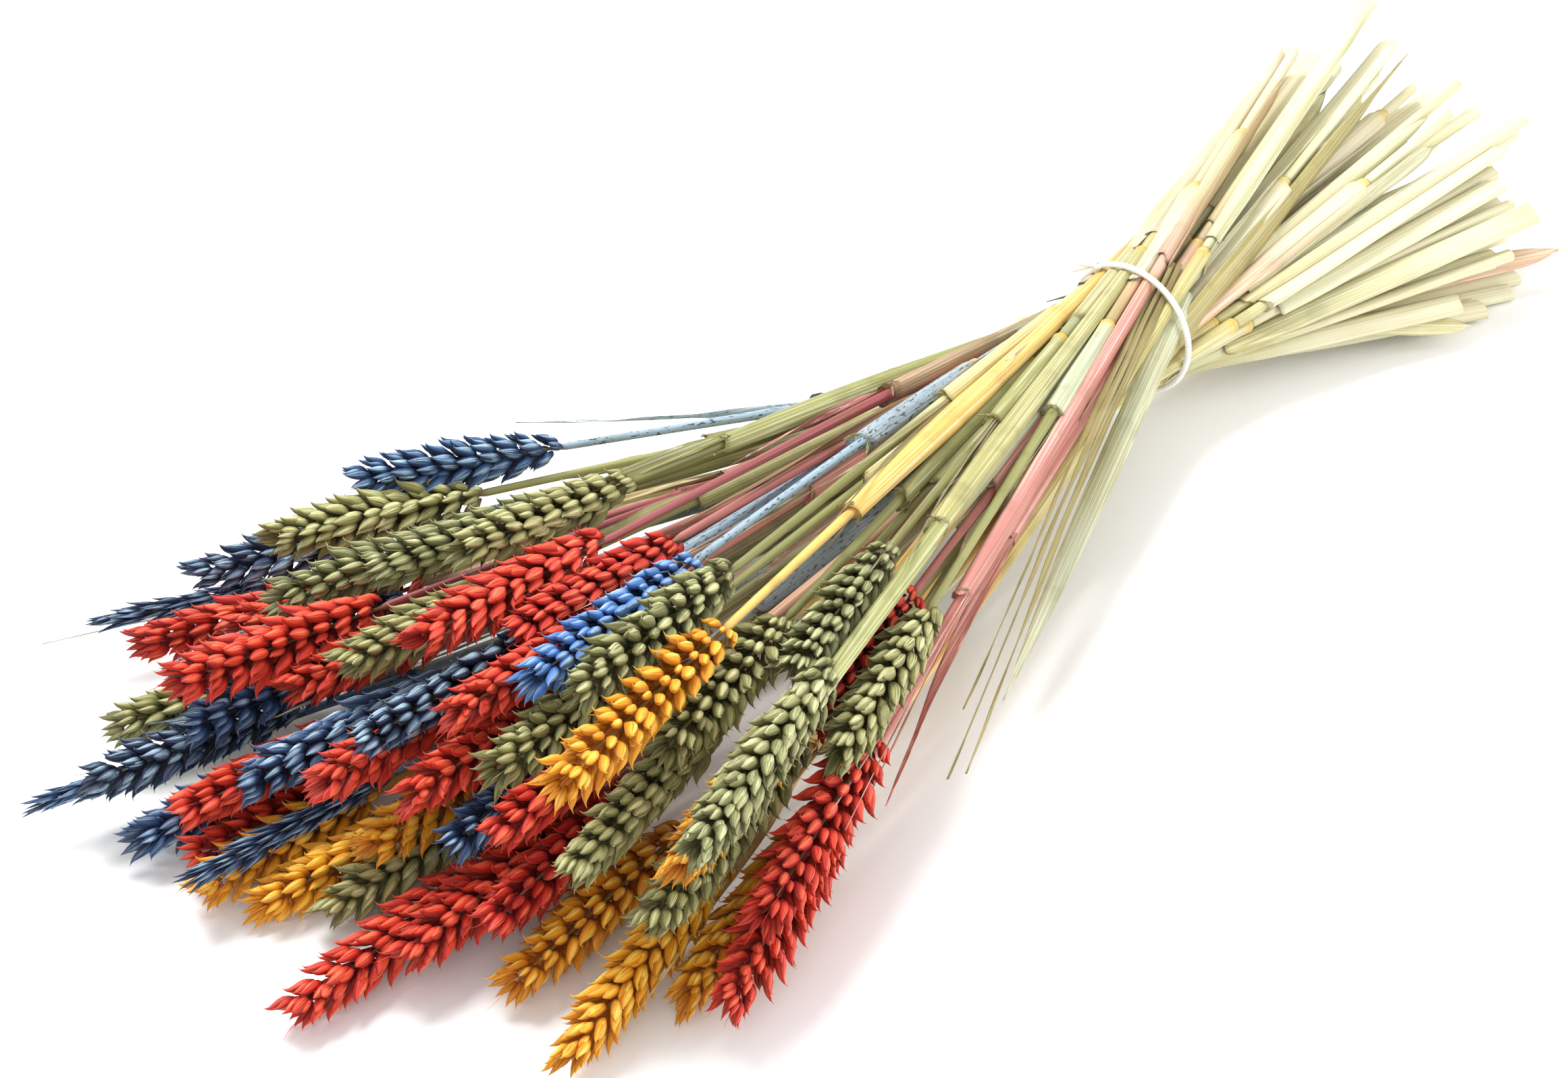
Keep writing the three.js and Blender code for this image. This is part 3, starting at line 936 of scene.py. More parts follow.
def rank_group():
    """Puts one scale of the same rank on every spikelet. A spikelet is a point that knows the
    way out of the ear, its size and its lean."""
    tree = Tree("Scales of one rank")
    spikelets = tree.input("Spikelets", "Geometry")
    shape = tree.input("Scale", "Object")
    spread = tree.input("Spread")
    facing = tree.input("Facing")
    lean_share = tree.input("Lean share")
    rise = tree.input("Rise")
    out = tree.input("Out")
    aside = tree.input("Aside")
    size = tree.input("Size")
    loose = tree.input("Looseness")
    keep = tree.input("Keep")
    seed = tree.input("Seed", "Int")

    outward = tree.named("outward", "FLOAT_VECTOR")
    sideways = tree.vector("CROSS_PRODUCT", TO_TIP, outward)
    full = tree.named("full")
    girth = tree.named("girth")
    strayed = tree.jitter(LEAN_JITTER, seed)
    lean = tree.math("MULTIPLY_ADD", tree.named("lean"), lean_share, strayed)
    strayed = tree.jitter(FAN_JITTER, seed, FAN_STEP)
    fan = tree.math("ADD", tree.times(spread, loose), strayed)
    face = tree.math("ADD", facing, tree.jitter(FACE_JITTER, seed, FACE_STEP))
    grown = tree.times(tree.times(size, tree.random(SMALL, LARGE, seed, SIZE_STEP)), full)
    thick = tree.times(grown, girth)

    direction = tree.total(
        tree.scaled(TO_TIP, tree.times(tree.math("COSINE", lean), tree.math("COSINE", fan))),
        tree.scaled(outward, tree.math("SINE", lean)),
        tree.scaled(sideways, tree.math("SINE", fan)),
    )
    back = tree.total(
        tree.scaled(outward, tree.math("COSINE", face)),
        tree.scaled(sideways, tree.math("SINE", face)),
    )
    across = tree.total(tree.scaled(outward, out), tree.scaled(sideways, aside))
    moved = tree.total(tree.scaled(TO_TIP, rise), tree.scaled(across, girth))
    placed = tree.node(
        "GeometryNodeSetPosition", {"Geometry": spikelets, "Offset": tree.scaled(moved, full)}
    )
    turned = tree.node(
        "FunctionNodeAxesToRotation",
        {"Primary Axis": direction, "Secondary Axis": back},
        primary_axis="Z",
        secondary_axis="X",
    )
    kept_share = tree.times(keep, tree.named("portion"))
    chance = tree.random(0, 1, seed, KEEP_STEP)
    scales = tree.node(
        "GeometryNodeInstanceOnPoints",
        {
            "Points": placed,
            "Selection": tree.compared("LESS_THAN", chance, kept_share),
            "Instance": tree.node(
                "GeometryNodeObjectInfo", {"Object": shape, "As Instance": True}, "Geometry"
            ),
            "Rotation": turned,
            "Scale": tree.combined(thick, thick, grown),
        },
    )
    tint = tree.random(0, 1, seed, TINT_STEP)
    return tree.finish(tree.stored(scales, "tint", tint, domain="INSTANCE"))


# The scales of one spikelet: shape, spread and facing in degrees, share of the spikelet's lean,
# then rise, way out and way aside in millimetres, and size.
RANKS = (
    ("Glume", -15, -74, 0.5, 0.0, 0.5, -1.8, 1.0),
    ("Glume", 15, 74, 0.5, 0.0, 0.5, 1.8, 1.0),
    ("Lemma", -15, -58, 0.75, 1.0, 0.9, -1.9, 1.0),
    ("Lemma", 15, 58, 0.75, 1.4, 0.9, 1.9, 1.0),
    ("Lemma", -8, -28, 1.0, 1.9, 1.7, -1.1, 1.0),
    ("Lemma", 8, 28, 1.0, 2.5, 1.7, 1.1, 0.96),
    ("Lemma", 0, 0, 1.25, 3.7, 2.1, 0.0, 0.8),
    ("Awn", 3, 0, 1.0, 9.2, 2.6, 0.3, 1.0),
)
RANK_SEEDS = 100.0  # between one rank's seed and the next one's
AWN_SHARE = 0.55  # of the spikelets at the ear's tip that carry one, and fewer below
ALL = 1000.0  # a share so large that every spikelet keeps its scale
FIRST_STEP = 0.6  # from the neck to the first spikelet, in steps
SIDE_JITTER = 0.12  # radians that a spikelet strays from its row
NECK_SIZE, TIP_SIZE, TIP_LEAN = 0.72, 0.78, 0.3  # of the spikelets at an ear's ends


def stalk_tree(bend, rank):
    """A whole stalk: the ear's scales in two rows on a straight axis, joined to the straight
    straw, and everything bent along the stalk's path."""
    tree = Tree("Wheat stalk")
    straw = tree.input("Straight straw", "Geometry")
    path = tree.input("Path", "Object")
    shapes = {kind: tree.input(kind, "Object") for kind in ("Glume", "Lemma", "Awn")}
    neck = tree.input("Neck")
    count = tree.input("Spikelets", "Int")
    step = tree.input("Step")
    fullness = tree.input("Fullness")
    roll = tree.input("Roll")
    twist = tree.input("Twist")
    lean = tree.input("Lean")
    loose = tree.input("Looseness")
    shade = tree.input("Shade")
    seed = tree.input("Seed", "Int")
    scale_finish = tree.input("Scale finish", "Material")
    straw_finish = tree.input("Straw finish", "Material")

    # One point for each spikelet, from the neck to the tip, on opposite sides in turn.
    index = tree.node("GeometryNodeInputIndex", {})
    portion = tree.math("DIVIDE", index, tree.math("SUBTRACT", count, 1.0))
    along = tree.math("SUBTRACT", neck, tree.times(tree.math("ADD", index, FIRST_STEP), step))
    points = tree.node(
        "GeometryNodePoints", {"Count": count, "Position": tree.combined(along, 0.0, 0.0)}
    )
    side = tree.times(tree.math("MODULO", index, 2.0), math.pi)
    azimuth = tree.math("ADD", side, tree.math("MULTIPLY_ADD", twist, portion, roll))
    azimuth = tree.math("ADD", azimuth, tree.jitter(SIDE_JITTER, seed))
    outward = tree.combined(0.0, tree.math("COSINE", azimuth), tree.math("SINE", azimuth))
    # The spikelets are smaller at both ends of the ear, and those near the tip lean less.
    near_neck = tree.eased(portion, 0.0, 0.2, NECK_SIZE, 1.0)
    full = tree.times(near_neck, tree.eased(portion, 0.65, 1.0, 1.0, TIP_SIZE))
    points = tree.stored(points, "outward", outward, "FLOAT_VECTOR")
    points = tree.stored(points, "full", full)
    points = tree.stored(points, "girth", fullness)
    points = tree.stored(points, "portion", tree.math("ADD", portion, 0.01))
    tilt = tree.times(lean, tree.eased(portion, 0.82, 1.0, 1.0, TIP_LEAN))
    points = tree.stored(points, "lean", tilt)

    rows = []
    for number, (shape, spread, facing, leaning, rise, out, aside, size) in enumerate(RANKS):
        scales = tree.call(
            rank,
            Spikelets=points,
            Scale=shapes[shape],
            Spread=math.radians(spread),
            Facing=math.radians(facing),
            Lean_share=leaning,
            Rise=rise * MM,
            Out=out * MM,
            Aside=aside * MM,
            Size=size,
            Looseness=loose,
            Keep=AWN_SHARE if shape == "Awn" else ALL,
            Seed=tree.math("ADD", seed, RANK_SEEDS * number),
        )
        rows.append(scales)
    ear = tree.stored(tree.realized(tree.joined(*rows)), "scale", 1.0)
    ear = tree.stored(ear, "shade", shade)
    bent = tree.call(bend, Straight_model=tree.joined(straw, ear), Path=path)
    whole = tree.painted(tree.realized(bent), straw_finish)
    on_scale = tree.compared("GREATER_THAN", tree.named("scale"), 0.5)
    return tree.finish(tree.painted(whole, scale_finish, on_scale))


def leaf_tree():
    """A loose leaf blade: its straight model bent along its path."""
    tree = Tree("Loose leaf blade")
    blade = tree.input("Straight blade", "Geometry")
    path = tree.input("Path", "Object")
    finish = tree.input("Finish", "Material")
    bent = tree.call(bend_group(), Straight_model=blade, Path=path)
    return tree.finish(tree.painted(tree.realized(bent), finish))


CORD_SIDES = 10
RIB_POINTS = 4  # along the cord for each rib
RIB_HEIGHT = 0.045  # in cord radii


def cord_tree():
    """A covered elastic cord along a curve, with fine ribs round it."""
    tree = Tree("Covered elastic")
    path = tree.input("Path", "Geometry")
    radius = tree.input("Cord radius")
    rib_step = tree.input("Rib step")
    finish = tree.input("Finish", "Material")
    thickness = tree.node("GeometryNodeInputRadius", {})
    fine = tree.math("DIVIDE", rib_step, RIB_POINTS)
    curve = tree.node("GeometryNodeResampleCurve", {"Curve": path, "Length": fine}, mode="LENGTH")
    turn = tree.times(tree.node("GeometryNodeInputIndex", {}), ROUND / RIB_POINTS)
    rib = tree.math("MULTIPLY_ADD", tree.math("COSINE", turn), RIB_HEIGHT, 1.0)
    curve = tree.node(
        "GeometryNodeSetCurveRadius", {"Curve": curve, "Radius": tree.times(thickness, rib)}
    )
    section = tree.node(
        "GeometryNodeCurvePrimitiveCircle",
        {"Resolution": CORD_SIDES, "Radius": radius},
        mode="RADIUS",
    )
    cord = tree.node(
        "GeometryNodeCurveToMesh",
        {"Curve": curve, "Profile Curve": section, "Scale": thickness, "Fill Caps": True},
    )
    return tree.finish(tree.painted(tree.realized(cord), finish))


def apply_tree(piece, tree, name, **values):
    """Runs a tree on an object and leaves the result as a plain mesh in that object's stead."""
    modifier = piece.modifiers.new(tree.name, "NODES")
    modifier.node_group = tree
    given = {key.replace("_", " "): value for key, value in values.items()}
    for item in tree.interface.items_tree:
        if item.item_type == "SOCKET" and item.in_out == "INPUT" and item.name in given:
            modifier[item.identifier] = given.pop(item.name)
    if given:
        raise ValueError(f"{tree.name} has no input named {sorted(given)}")
    evaluated = piece.evaluated_get(bpy.context.evaluated_depsgraph_get())
    mesh = bpy.data.meshes.new_from_object(evaluated)
    mesh.name = name
    mesh.shade_smooth()
    bpy.data.objects.remove(piece)
    return new_object(name, mesh)


def hand_over(piece, slot, *nodes):
    """Puts a finished piece under the root and hides the frame's parts that it stands for."""
    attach(piece, "root")
    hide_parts(*nodes)


# ---------------------------------------------------------------------------------------------
# Finishes
# ---------------------------------------------------------------------------------------------


class Finish(Nodes):
    """Builds a procedural material round one Principled shader."""

    def __init__(self, name, **sockets):
        self.material = bpy.data.materials.new(name)
        self.material.use_nodes = True
        super().__init__(self.material.node_tree)
        self.colours = bpy.context.scene.wheat_colours
        self.shader = self.tree.nodes["Principled BSDF"]
        for key, value in sockets.items():
            self.shader.inputs[key.replace("_", " ")].default_value = value

    def attribute(self, name, output="Fac"):
        return self.node("ShaderNodeAttribute", {}, output, attribute_name=name)

    def place(self):
        return self.node("ShaderNodeTexCoord", {}, "Object")

    def noise(self, vector, scale, detail):
        inputs = {"Vector": vector, "Scale": scale, "Detail": detail}
        return self.node("ShaderNodeTexNoise", inputs)

    def stretched(self, vector, scale):
        return self.node("ShaderNodeMapping", {"Vector": vector, "Scale": scale})

    def mix(self, amount, under, over):
        """One colour with an amount of another over it. A name stands for a set colour."""
        made = self.tree.nodes.new("ShaderNodeMix")
        made.data_type = "RGBA"
        self.feed(made.inputs["Factor"], amount)
        ends = typed(made.inputs, "RGBA")
        for end, value in (("A", under), ("B", over)):
            self.feed(ends[end], getattr(self.colours, value) if isinstance(value, str) else value)
        return typed(made.outputs, "RGBA")["Result"]

    def ramp(self, value, stops):
        """A colour for each value, from the named colours and where each one starts."""
        made = self.tree.nodes.new("ShaderNodeValToRGB")
        self.feed(made.inputs["Fac"], value)
        elements = made.color_ramp.elements
        while len(elements) < len(stops):
            elements.new(1.0)
        for element, (start, name) in zip(elements, stops):
            element.position = start
            element.color = (*getattr(self.colours, name), 1)
        return made.outputs["Color"]

    def bumped(self, height, strength, distance):
        inputs = {"Height": height, "Strength": strength, "Distance": distance}
        self.feed(self.shader.inputs["Normal"], self.node("ShaderNodeBump", inputs))

    def finish(self, base, roughness):
        self.feed(self.shader.inputs["Base Color"], base)
        self.feed(self.shader.inputs["Roughness"], roughness)
        return self.material


# How finely patterns change: across a scale, along it and from scale to scale; and for straw
# along it and round it, per metre.
SCALE_RIBS = (4.2, 0.55, 40.0)
VEINS = (7.0, 1900.0, 1900.0)
STREAKS = (16.0, 300.0, 300.0)
SPECKS = (420.0, 1400.0, 1400.0)


def scale_finish(dye):
    """A dyed scale: a painted highlight in the middle where it bulges, painted shade at its edges,
    foot, grooves and hollow side, with fine ribs from foot to tip."""
    finish = Finish(dye + "_scale", Specular_IOR_Level=0.35, Sheen_Weight=0.04)
    across, along, hollow = finish.separated(finish.attribute("lie", "Vector"))
    tint = finish.attribute("tint")
    shade = finish.attribute("shade")
    own = finish.combined(across, along, tint)
    ribs = finish.noise(finish.stretched(own, SCALE_RIBS), 2.2, 2.5)
    blotch = finish.noise(finish.place(), 160.0, 2.0)

    # The dye leans to its drift where it is deepest, and to its pale colour where it is thin.
    base = finish.mix(finish.eased(shade, 0.0, 0.16, 0.7, 0.0), dye + "_body", dye + "_drift")
    base = finish.mix(finish.times(shade, 0.9), base, dye + "_pale")
    # Painted highlight: the bulging middle is lighter, more so on the ribs and on some scales.
    middle = finish.times(finish.eased(across, 0.1, 0.85, 1.0, 0.0), finish.eased(along, 0.2, 0.55))
    painted_highlight = finish.times(middle, finish.eased(ribs, 0.38, 0.62, 0.12, 1.35))
    painted_highlight = finish.times(painted_highlight, finish.eased(tint, 0.0, 1.0, 0.5, 1.2))
    base = finish.mix(painted_highlight, base, dye + "_light")
    # Painted shade: the foot, the edges, the grooves between the ribs and the hollow side are
    # darker, less so on a pale ear.
    foot = finish.eased(along, 0.42, 0.05, 0.0, 0.95)
    edge = finish.times(finish.eased(across, 0.7, 1.0), 0.8)
    grooves = finish.times(finish.eased(ribs, 0.5, 0.34), 0.7)
    painted_shade = finish.math("MAXIMUM", finish.math("MAXIMUM", foot, edge), grooves)
    painted_shade = finish.times(painted_shade, finish.math("SUBTRACT", 1.0, finish.times(shade, 0.45)))
    painted_shade = finish.math("MAXIMUM", painted_shade, hollow)
    base = finish.mix(painted_shade, base, dye + "_dark")
    base = finish.mix(finish.eased(blotch, 0.48, 0.75, 0.0, 0.4), base, dye + "_dark")
    if dye == "blue":
        violet = finish.times(finish.eased(tint, 0.6, 1.0), finish.eased(along, 0.5, 1.0))
        base = finish.mix(finish.times(violet, 0.5), base, "violet")
    finish.bumped(ribs, 0.45, 0.3 * MM)
    return finish.finish(base, finish.eased(ribs, 0.3, 0.7, 0.6, 0.42))


# Undyed straw's colours in order, each with the place where it starts on the hue attribute.
UNDYED = ((0.0, "sage"), (0.3, "moss"), (0.42, "straw"), (0.62, "mint"), (0.9, "peach"))


def straw_finish(dye):
    """Straw and sheaths: dyed near the ear, undyed and then cream towards the cut end, with long
    veins, golden joints and withered edges."""
    finish = Finish(dye + "_straw", Specular_IOR_Level=0.42, Sheen_Weight=0.05)
    grain = finish.attribute("grain", "Vector")
    here = finish.place()
    veined = finish.attribute("veined")
    pale = finish.attribute("pale")
    dye_share = finish.attribute("dye")
    veins = finish.noise(finish.stretched(grain, VEINS), 1.0, 2.0)
    streaks = finish.noise(finish.stretched(grain, STREAKS), 1.0, 3.0)

    undyed = finish.ramp(finish.attribute("hue"), UNDYED)
    undyed = finish.mix(finish.times(pale, 0.82), undyed, "cream")
    patches = finish.eased(finish.noise(here, 24.0, 1.0), 0.42, 0.66, 0.0, 0.25)
    undyed = finish.mix(patches, undyed, "straw")
    strength = finish.math("MULTIPLY_ADD", streaks, 0.8, -0.4)
    strength = finish.eased(finish.math("ADD", finish.attribute("tone"), strength), 0.1, 1.0)
    dyed = finish.mix(strength, dye + "_straw", dye + "_deep")
    taken = finish.math("SUBTRACT", dye_share, 0.25)
    taken = finish.eased(finish.math("MULTIPLY_ADD", streaks, 0.5, taken), 0.1, 0.8)
    base = finish.mix(taken, undyed, dyed)

    # Dark veins, which fade where the straw is pale, and bright lines of painted sheen between
    # them.
    lines = finish.times(finish.eased(veins, 0.55, 0.4, 0.0, 0.3), veined)
    lines = finish.times(lines, finish.eased(pale, 0.1, 1.0, 1.0, 0.35))
    base = finish.mix(lines, base, "vein")
    bright = finish.times(finish.eased(veins, 0.52, 0.66, 0.0, 0.35), veined)
    base = finish.mix(bright, base, "gloss")
    soiled = finish.eased(finish.noise(here, 90.0, 3.0), 0.5, 0.74, 0.0, 0.28)
    base = finish.mix(finish.times(soiled, finish.math("SUBTRACT", 1.1, pale)), base, "soil")
    if dye == "blue":
        specks = finish.noise(finish.stretched(grain, SPECKS), 1.0, 1.0)
        dots = finish.times(finish.eased(specks, 0.6, 0.67), dye_share)
        base = finish.mix(finish.times(dots, 0.8), base, "blue_dark")
    base = finish.mix(finish.times(finish.attribute("golden"), 0.75), base, "joint")
    withered = finish.eased(streaks, 0.3, 0.6, 0.7, 1.0)
    withered = finish.times(finish.attribute("withered"), withered)
    base = finish.mix(withered, base, "brown")
    finish.bumped(veins, 0.25, 0.15 * MM)
    return finish.finish(base, finish.eased(veined, 0.2, 1.0, 0.4, 0.6))


def elastic_finish():
    """White covered elastic with a faint woven bump, and painted shade in the hollows of its cover.
    """
    finish = Finish("elastic_cover", Sheen_Weight=0.3)
    weave_and_shade = finish.noise(finish.place(), 2400.0, 1.0)
    # Painted shade in the hollows of the woven cover.
    base = finish.mix(finish.eased(weave_and_shade, 0.35, 0.65, 0.25, 0.0), "elastic", "weave_and_shade")
    finish.bumped(weave_and_shade, 0.3, 0.1 * MM)
    return finish.finish(base, 0.8)


def floor_finish():
    """A pale matt floor with faint patches of painted shade."""
    finish = Finish("pale_floor")
    floor_shade = finish.noise(finish.place(), 3.0, 1.0)
    # Faint patches of painted shade over the floor's colour.
    return finish.finish(finish.mix(finish.times(floor_shade, 0.02), "floor", "floor_shade"), 0.9)


# ---------------------------------------------------------------------------------------------
# Operators
# ---------------------------------------------------------------------------------------------

BARE_TIP = 8 * MM  # of an ear's length, beyond its last spikelet's foot
SLIM = 0.7  # an ear with less fullness than this is a slim one, whose scales stay shut
SLIM_FULLNESS, SLIM_LEAN, SLIM_LOOSENESS = 0.45, 0.25, 0.35
PLUMP = 1.12  # fullness of the scales over that of the frame's ear
# Limits that an ear's own values are drawn between.
STEPS, LEANS, LOOSENESS, SHADES = (0.95, 1.1), (0.75, 1.3), (0.8, 2.1), (0, 0.25)
PALEST = {"blue_stalk_13": 1.0}  # the shade of the ear that took up the least dye
FIRST_SEED, SEED_STEP, DYE_SEEDS = 5, 17, 1000


def make_stalk(node, seed, tree, shared):
    """One stalk with its ear, as one piece."""
    dye, _, number = node.split("_")
    stalk = Stalk(node, seed)
    draw = stalk.draw
    sizes = bpy.context.scene.wheat_ear
    straw = straight_straw(stalk, node + "_straight")
    path = stalk.path.as_curve(node + "_path")
    slim = stalk.fullness < SLIM
    step = sizes.spikelet_step * draw.uniform(*STEPS)
    piece = apply_tree(
        straw,
        tree,
        f"{dye}_wheat_{number}",
        Path=path,
        Neck=stalk.neck,
        Spikelets=int((stalk.neck - stalk.tip - BARE_TIP) / step),
        Step=step,
        Fullness=SLIM_FULLNESS if slim else stalk.fullness * PLUMP,
        Roll=draw.uniform(0, ROUND),
        Twist=draw.uniform(-1, 1) * sizes.twist,
        Lean=sizes.lean * (SLIM_LEAN if slim else draw.uniform(*LEANS)),
        Looseness=draw.uniform(*LOOSENESS) * (SLIM_LOOSENESS if slim else 1),
        Shade=PALEST.get(node, draw.uniform(*SHADES)),
        Seed=seed,
        **shared,
    )
    bpy.data.objects.remove(path)
    hand_over(piece, dye + "_wheat", node)


class WHEAT_OT_stalks(bpy.types.Operator):
    """Make every stalk of one dye, each with its ear"""

    bl_idname = "wheat.stalks"
    bl_label = "Dyed Wheat Stalks"

    dye: bpy.props.EnumProperty(
        name="Dye", description="Which stalks to make", items=[(d, d.title(), "") for d in DYES]
    )

    def execute(self, context):
        nodes = sorted(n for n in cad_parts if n.startswith(self.dye + "_stalk"))
        if not nodes:
            raise RuntimeError(f"the frame has no {self.dye} stalk")
        tree = stalk_tree(bend_group(), rank_group())
        shapes = {
            "Glume": scale_shape("glume", GLUME_OUTLINE, GLUME_DEPTH),
            "Lemma": scale_shape("lemma", LEMMA_OUTLINE, LEMMA_DEPTH),
            "Awn": awn_shape(),
        }
        finishes = {"Scale_finish": scale_finish(self.dye), "Straw_finish": straw_finish(self.dye)}
        first = DYE_SEEDS * list(DYES).index(self.dye) + FIRST_SEED
        for number, node in enumerate(nodes):
            make_stalk(node, first + SEED_STEP * number, tree, shapes | finishes)
        for shape in shapes.values():
            bpy.data.objects.remove(shape)
        return {"FINISHED"}


# How each loose leaf blade looks: its width over the frame's, its strips, its twist and fold,
# how abruptly it narrows to its point, and the values that its finish reads.
LOOSE_LEAVES = {
    "leaf_blade_1": (1.35, 1, 0.7, 0.3, 4, {"hue": 0.0, "pale": 0.2, "withered": 0.05}),
    "leaf_blade_2": (1.2, 3, 2.2, 0.2, 4, {"hue": 0.35, "pale": 0.0, "withered": 0.7}),
    "leaf_blade_3": (1.2, 1, 0.3, 0.2, 40, {"hue": 0.45, "pale": 0.7, "withered": 0.0}),
    "leaf_blade_4": (1.6, 1, 0.5, 0.25, 24, {"hue": 1.0, "pale": 0.3, "withered": 0.0}),
    "leaf_blade_5": (1.4, 1, -0.6, 0.35, 5, {"hue": 0.4, "pale": 0.1, "withered": 0.4}),
}
LEAF_SEEDS = 700


class WHEAT_OT_leaves(bpy.types.Operator):
    """Make the loose leaf blades that the elastic holds"""

    bl_idname = "wheat.leaves"
    bl_label = "Loose Leaf Blades"

    def execute(self, context):
        tree = leaf_tree()
        finish = straw_finish("olive")
        for number, (node, looks) in enumerate(LOOSE_LEAVES.items(), 1):
            centres, radii = rings_of(node)
            path = Path(centres)
            start, end = path.distance_to(centres[0][0]), path.distance_to(centres[-1][0])
            if centres[-1][0] < TIE.x + 40 * MM:  # it points towards the ears
                start, end = end, start
            draw = random.Random(LEAF_SEEDS + number)
            straight = self.straight(start, end, 2 * float(radii.max()), looks, draw)
            curve = path.as_curve(node + "_path")
            piece = apply_tree(straight, tree, f"dry_leaf_{number}", Path=curve, Finish=finish)
            bpy.data.objects.remove(curve)
            hand_over(piece, "leaf", node)
        return {"FINISHED"}

    def straight(self, start, end, width, looks, draw):
        """The straight model of a leaf, whole or split into strips that spread a little."""
        wide, strips, twist, fold, point, values = looks
        width *= wide
        split = strips > 1
        skin = Skin()
        for k in range(strips):
            aside = (k - (strips - 1) / 2) / strips
            ribbon = {
                "start": start,
                "reach": (end - start) * (draw.uniform(0.75, 1) if split else 1),
                "steps": 60,
                "angle": 0.0,
                "drift": draw.uniform(-0.3, 0.3) if split else 0.0,
                "radius": aside * 0.95 * width,
                "rise": aside * 5 * MM,
                "bend": 2.5,
                "sway": 1.2 * MM if split else 0.0,
                "twist": twist * draw.uniform(0.8, 1.2),
                "turned": math.pi / 4 + draw.uniform(-0.2, 0.2),
                "width": width / strips,
                "point": point,
                "fold": fold,
                "crimp": 0.35 * MM,
                "waves": draw.uniform(14, 26),
            }
            add_ribbon(skin, ribbon, **values)
        return skin.as_object("straight_leaf")


RING_POINTS, LOOP_POINTS, TAIL_POINTS, WISP_POINTS = 96, 24, 9, 7
WAVE = 0.7 * MM  # how far the loop strays along the bunch
KNOT_TURN = math.radians(52)  # round the elastic, from the far side upwards
LOOP_SIZE, LOOP_TILTS, LOOP_THICKNESS = 1.5, (0.0, 1.1), 0.85
TAIL_THICKNESS, WISPS, WISP_THICKNESS = 0.7, 6, 0.16
TAIL_WAYS = ((-1, 0.25, 0.1), (-1, -0.05, 0.35))
TAIL_BENDS = ((0, 0.105, -0.0875), (0, 0.105, 0.0875))  # sideways, by each tail's end
WHOLE_SHARE = 0.55  # of a tail's length, before it frays
WISP_REACH = (0.2, 0.45)  # limits, in lengths of a tail
WISP_STRAY = 0.4
KNOT_SEED = 31


class WHEAT_OT_elastic(bpy.types.Operator):
    """Make the elastic with its small knot and frayed ends"""

    bl_idname = "wheat.elastic"
    bl_label = "Elastic"

    def execute(self, context):
        sizes = context.scene.wheat_tie
        curve = new_curve("elastic_path")
        self.add_ring(curve, sizes.cord_radius)
        knot = self.around(KNOT_TURN, -0.8 * MM, 0)
        self.add_knot(curve, knot, LOOP_SIZE * sizes.cord_radius)
        self.add_tails(curve, knot, sizes.tail_length)
        piece = apply_tree(
            new_object("elastic_path", curve),
            cord_tree(),
            "white_elastic",
            Cord_radius=sizes.cord_radius,
            Rib_step=sizes.rib_step,
            Finish=elastic_finish(),
        )
        hand_over(piece, "elastic", "elastic_tie")
        return {"FINISHED"}

    @staticmethod
    def around(turn, along, inset):
        """A place on the loop, at a turn from the far side."""
        y = (TIE_HALF.y - inset) * math.cos(turn)
        z = (TIE_HALF.z - inset) * math.sin(turn)
        return TIE + Vector((along, y, z))

    @staticmethod
    def turns(count):
        return np.linspace(0, ROUND, count, endpoint=False).tolist()

    def add_ring(self, curve, cord):
        """The loop round the straws. It waves a little along the bunch."""
        points = [self.around(t, WAVE * math.sin(t + 0.6), cord) for t in self.turns(RING_POINTS)]
        add_line(curve, points, closed=True)

    def add_knot(self, curve, knot, size):
        """A small knot on the far side, made of two crossing loops."""
        for tilt in LOOP_TILTS:
            points = []
            for turn in self.turns(LOOP_POINTS):
                c, s = size * math.cos(turn), size * math.sin(turn)
                points.append(knot + Vector((c, s * math.cos(tilt), s * math.sin(tilt))))
            add_line(curve, points, closed=True, thickness=LOOP_THICKNESS)

    def add_tails(self, curve, knot, size):
        """Two ends that leave the knot towards the ears and fray into wisps."""
        draw = random.Random(KNOT_SEED)
        for way, bend in zip(TAIL_WAYS, TAIL_BENDS):
            way, bend = Vector(way).normalized(), Vector(bend)
            steps = np.linspace(0, 1, TAIL_POINTS).tolist()
            tail = [knot + size * WHOLE_SHARE * (t * way + t * t * bend) for t in steps]
            add_line(curve, tail, thickness=TAIL_THICKNESS)
            for _ in range(WISPS):
                stray = Vector([draw.uniform(-WISP_STRAY, WISP_STRAY) for _ in range(3)])
                reach = size * draw.uniform(*WISP_REACH)
                steps = np.linspace(-0.1, 1, WISP_POINTS).tolist()
                wisp = [tail[-1] + reach * (t * way + t * t * stray) for t in steps]
                add_line(curve, wisp, thickness=WISP_THICKNESS)


FLOOR_HALF = 4.0
SKY_STRENGTH = 0.76
LAMPS = (  # name, place, width in metres and power in watts
    ("key_light", (0.0, 0.72, 1.45), 0.8, 31),
    ("fill_light", (-1.2, -1.0, 1.0), 1.2, 7),
    ("low_light", (0.7, -0.7, 0.45), 0.7, 5),
)
CAMERA_FROM_TIE = Vector((-0.632, -0.468, 0.466))
CAMERA_TILT = math.radians(35.5)  # downwards
LENS, SENSOR = 62.0, 36.0  # millimetres
SHIFT_UP = 0.003
NEAREST = 0.01


def aimed(thing, way):
    """Turns a lamp or a camera to look one way, with its top up."""
    thing.rotation_euler = way.to_track_quat("-Z", "Y").to_euler()


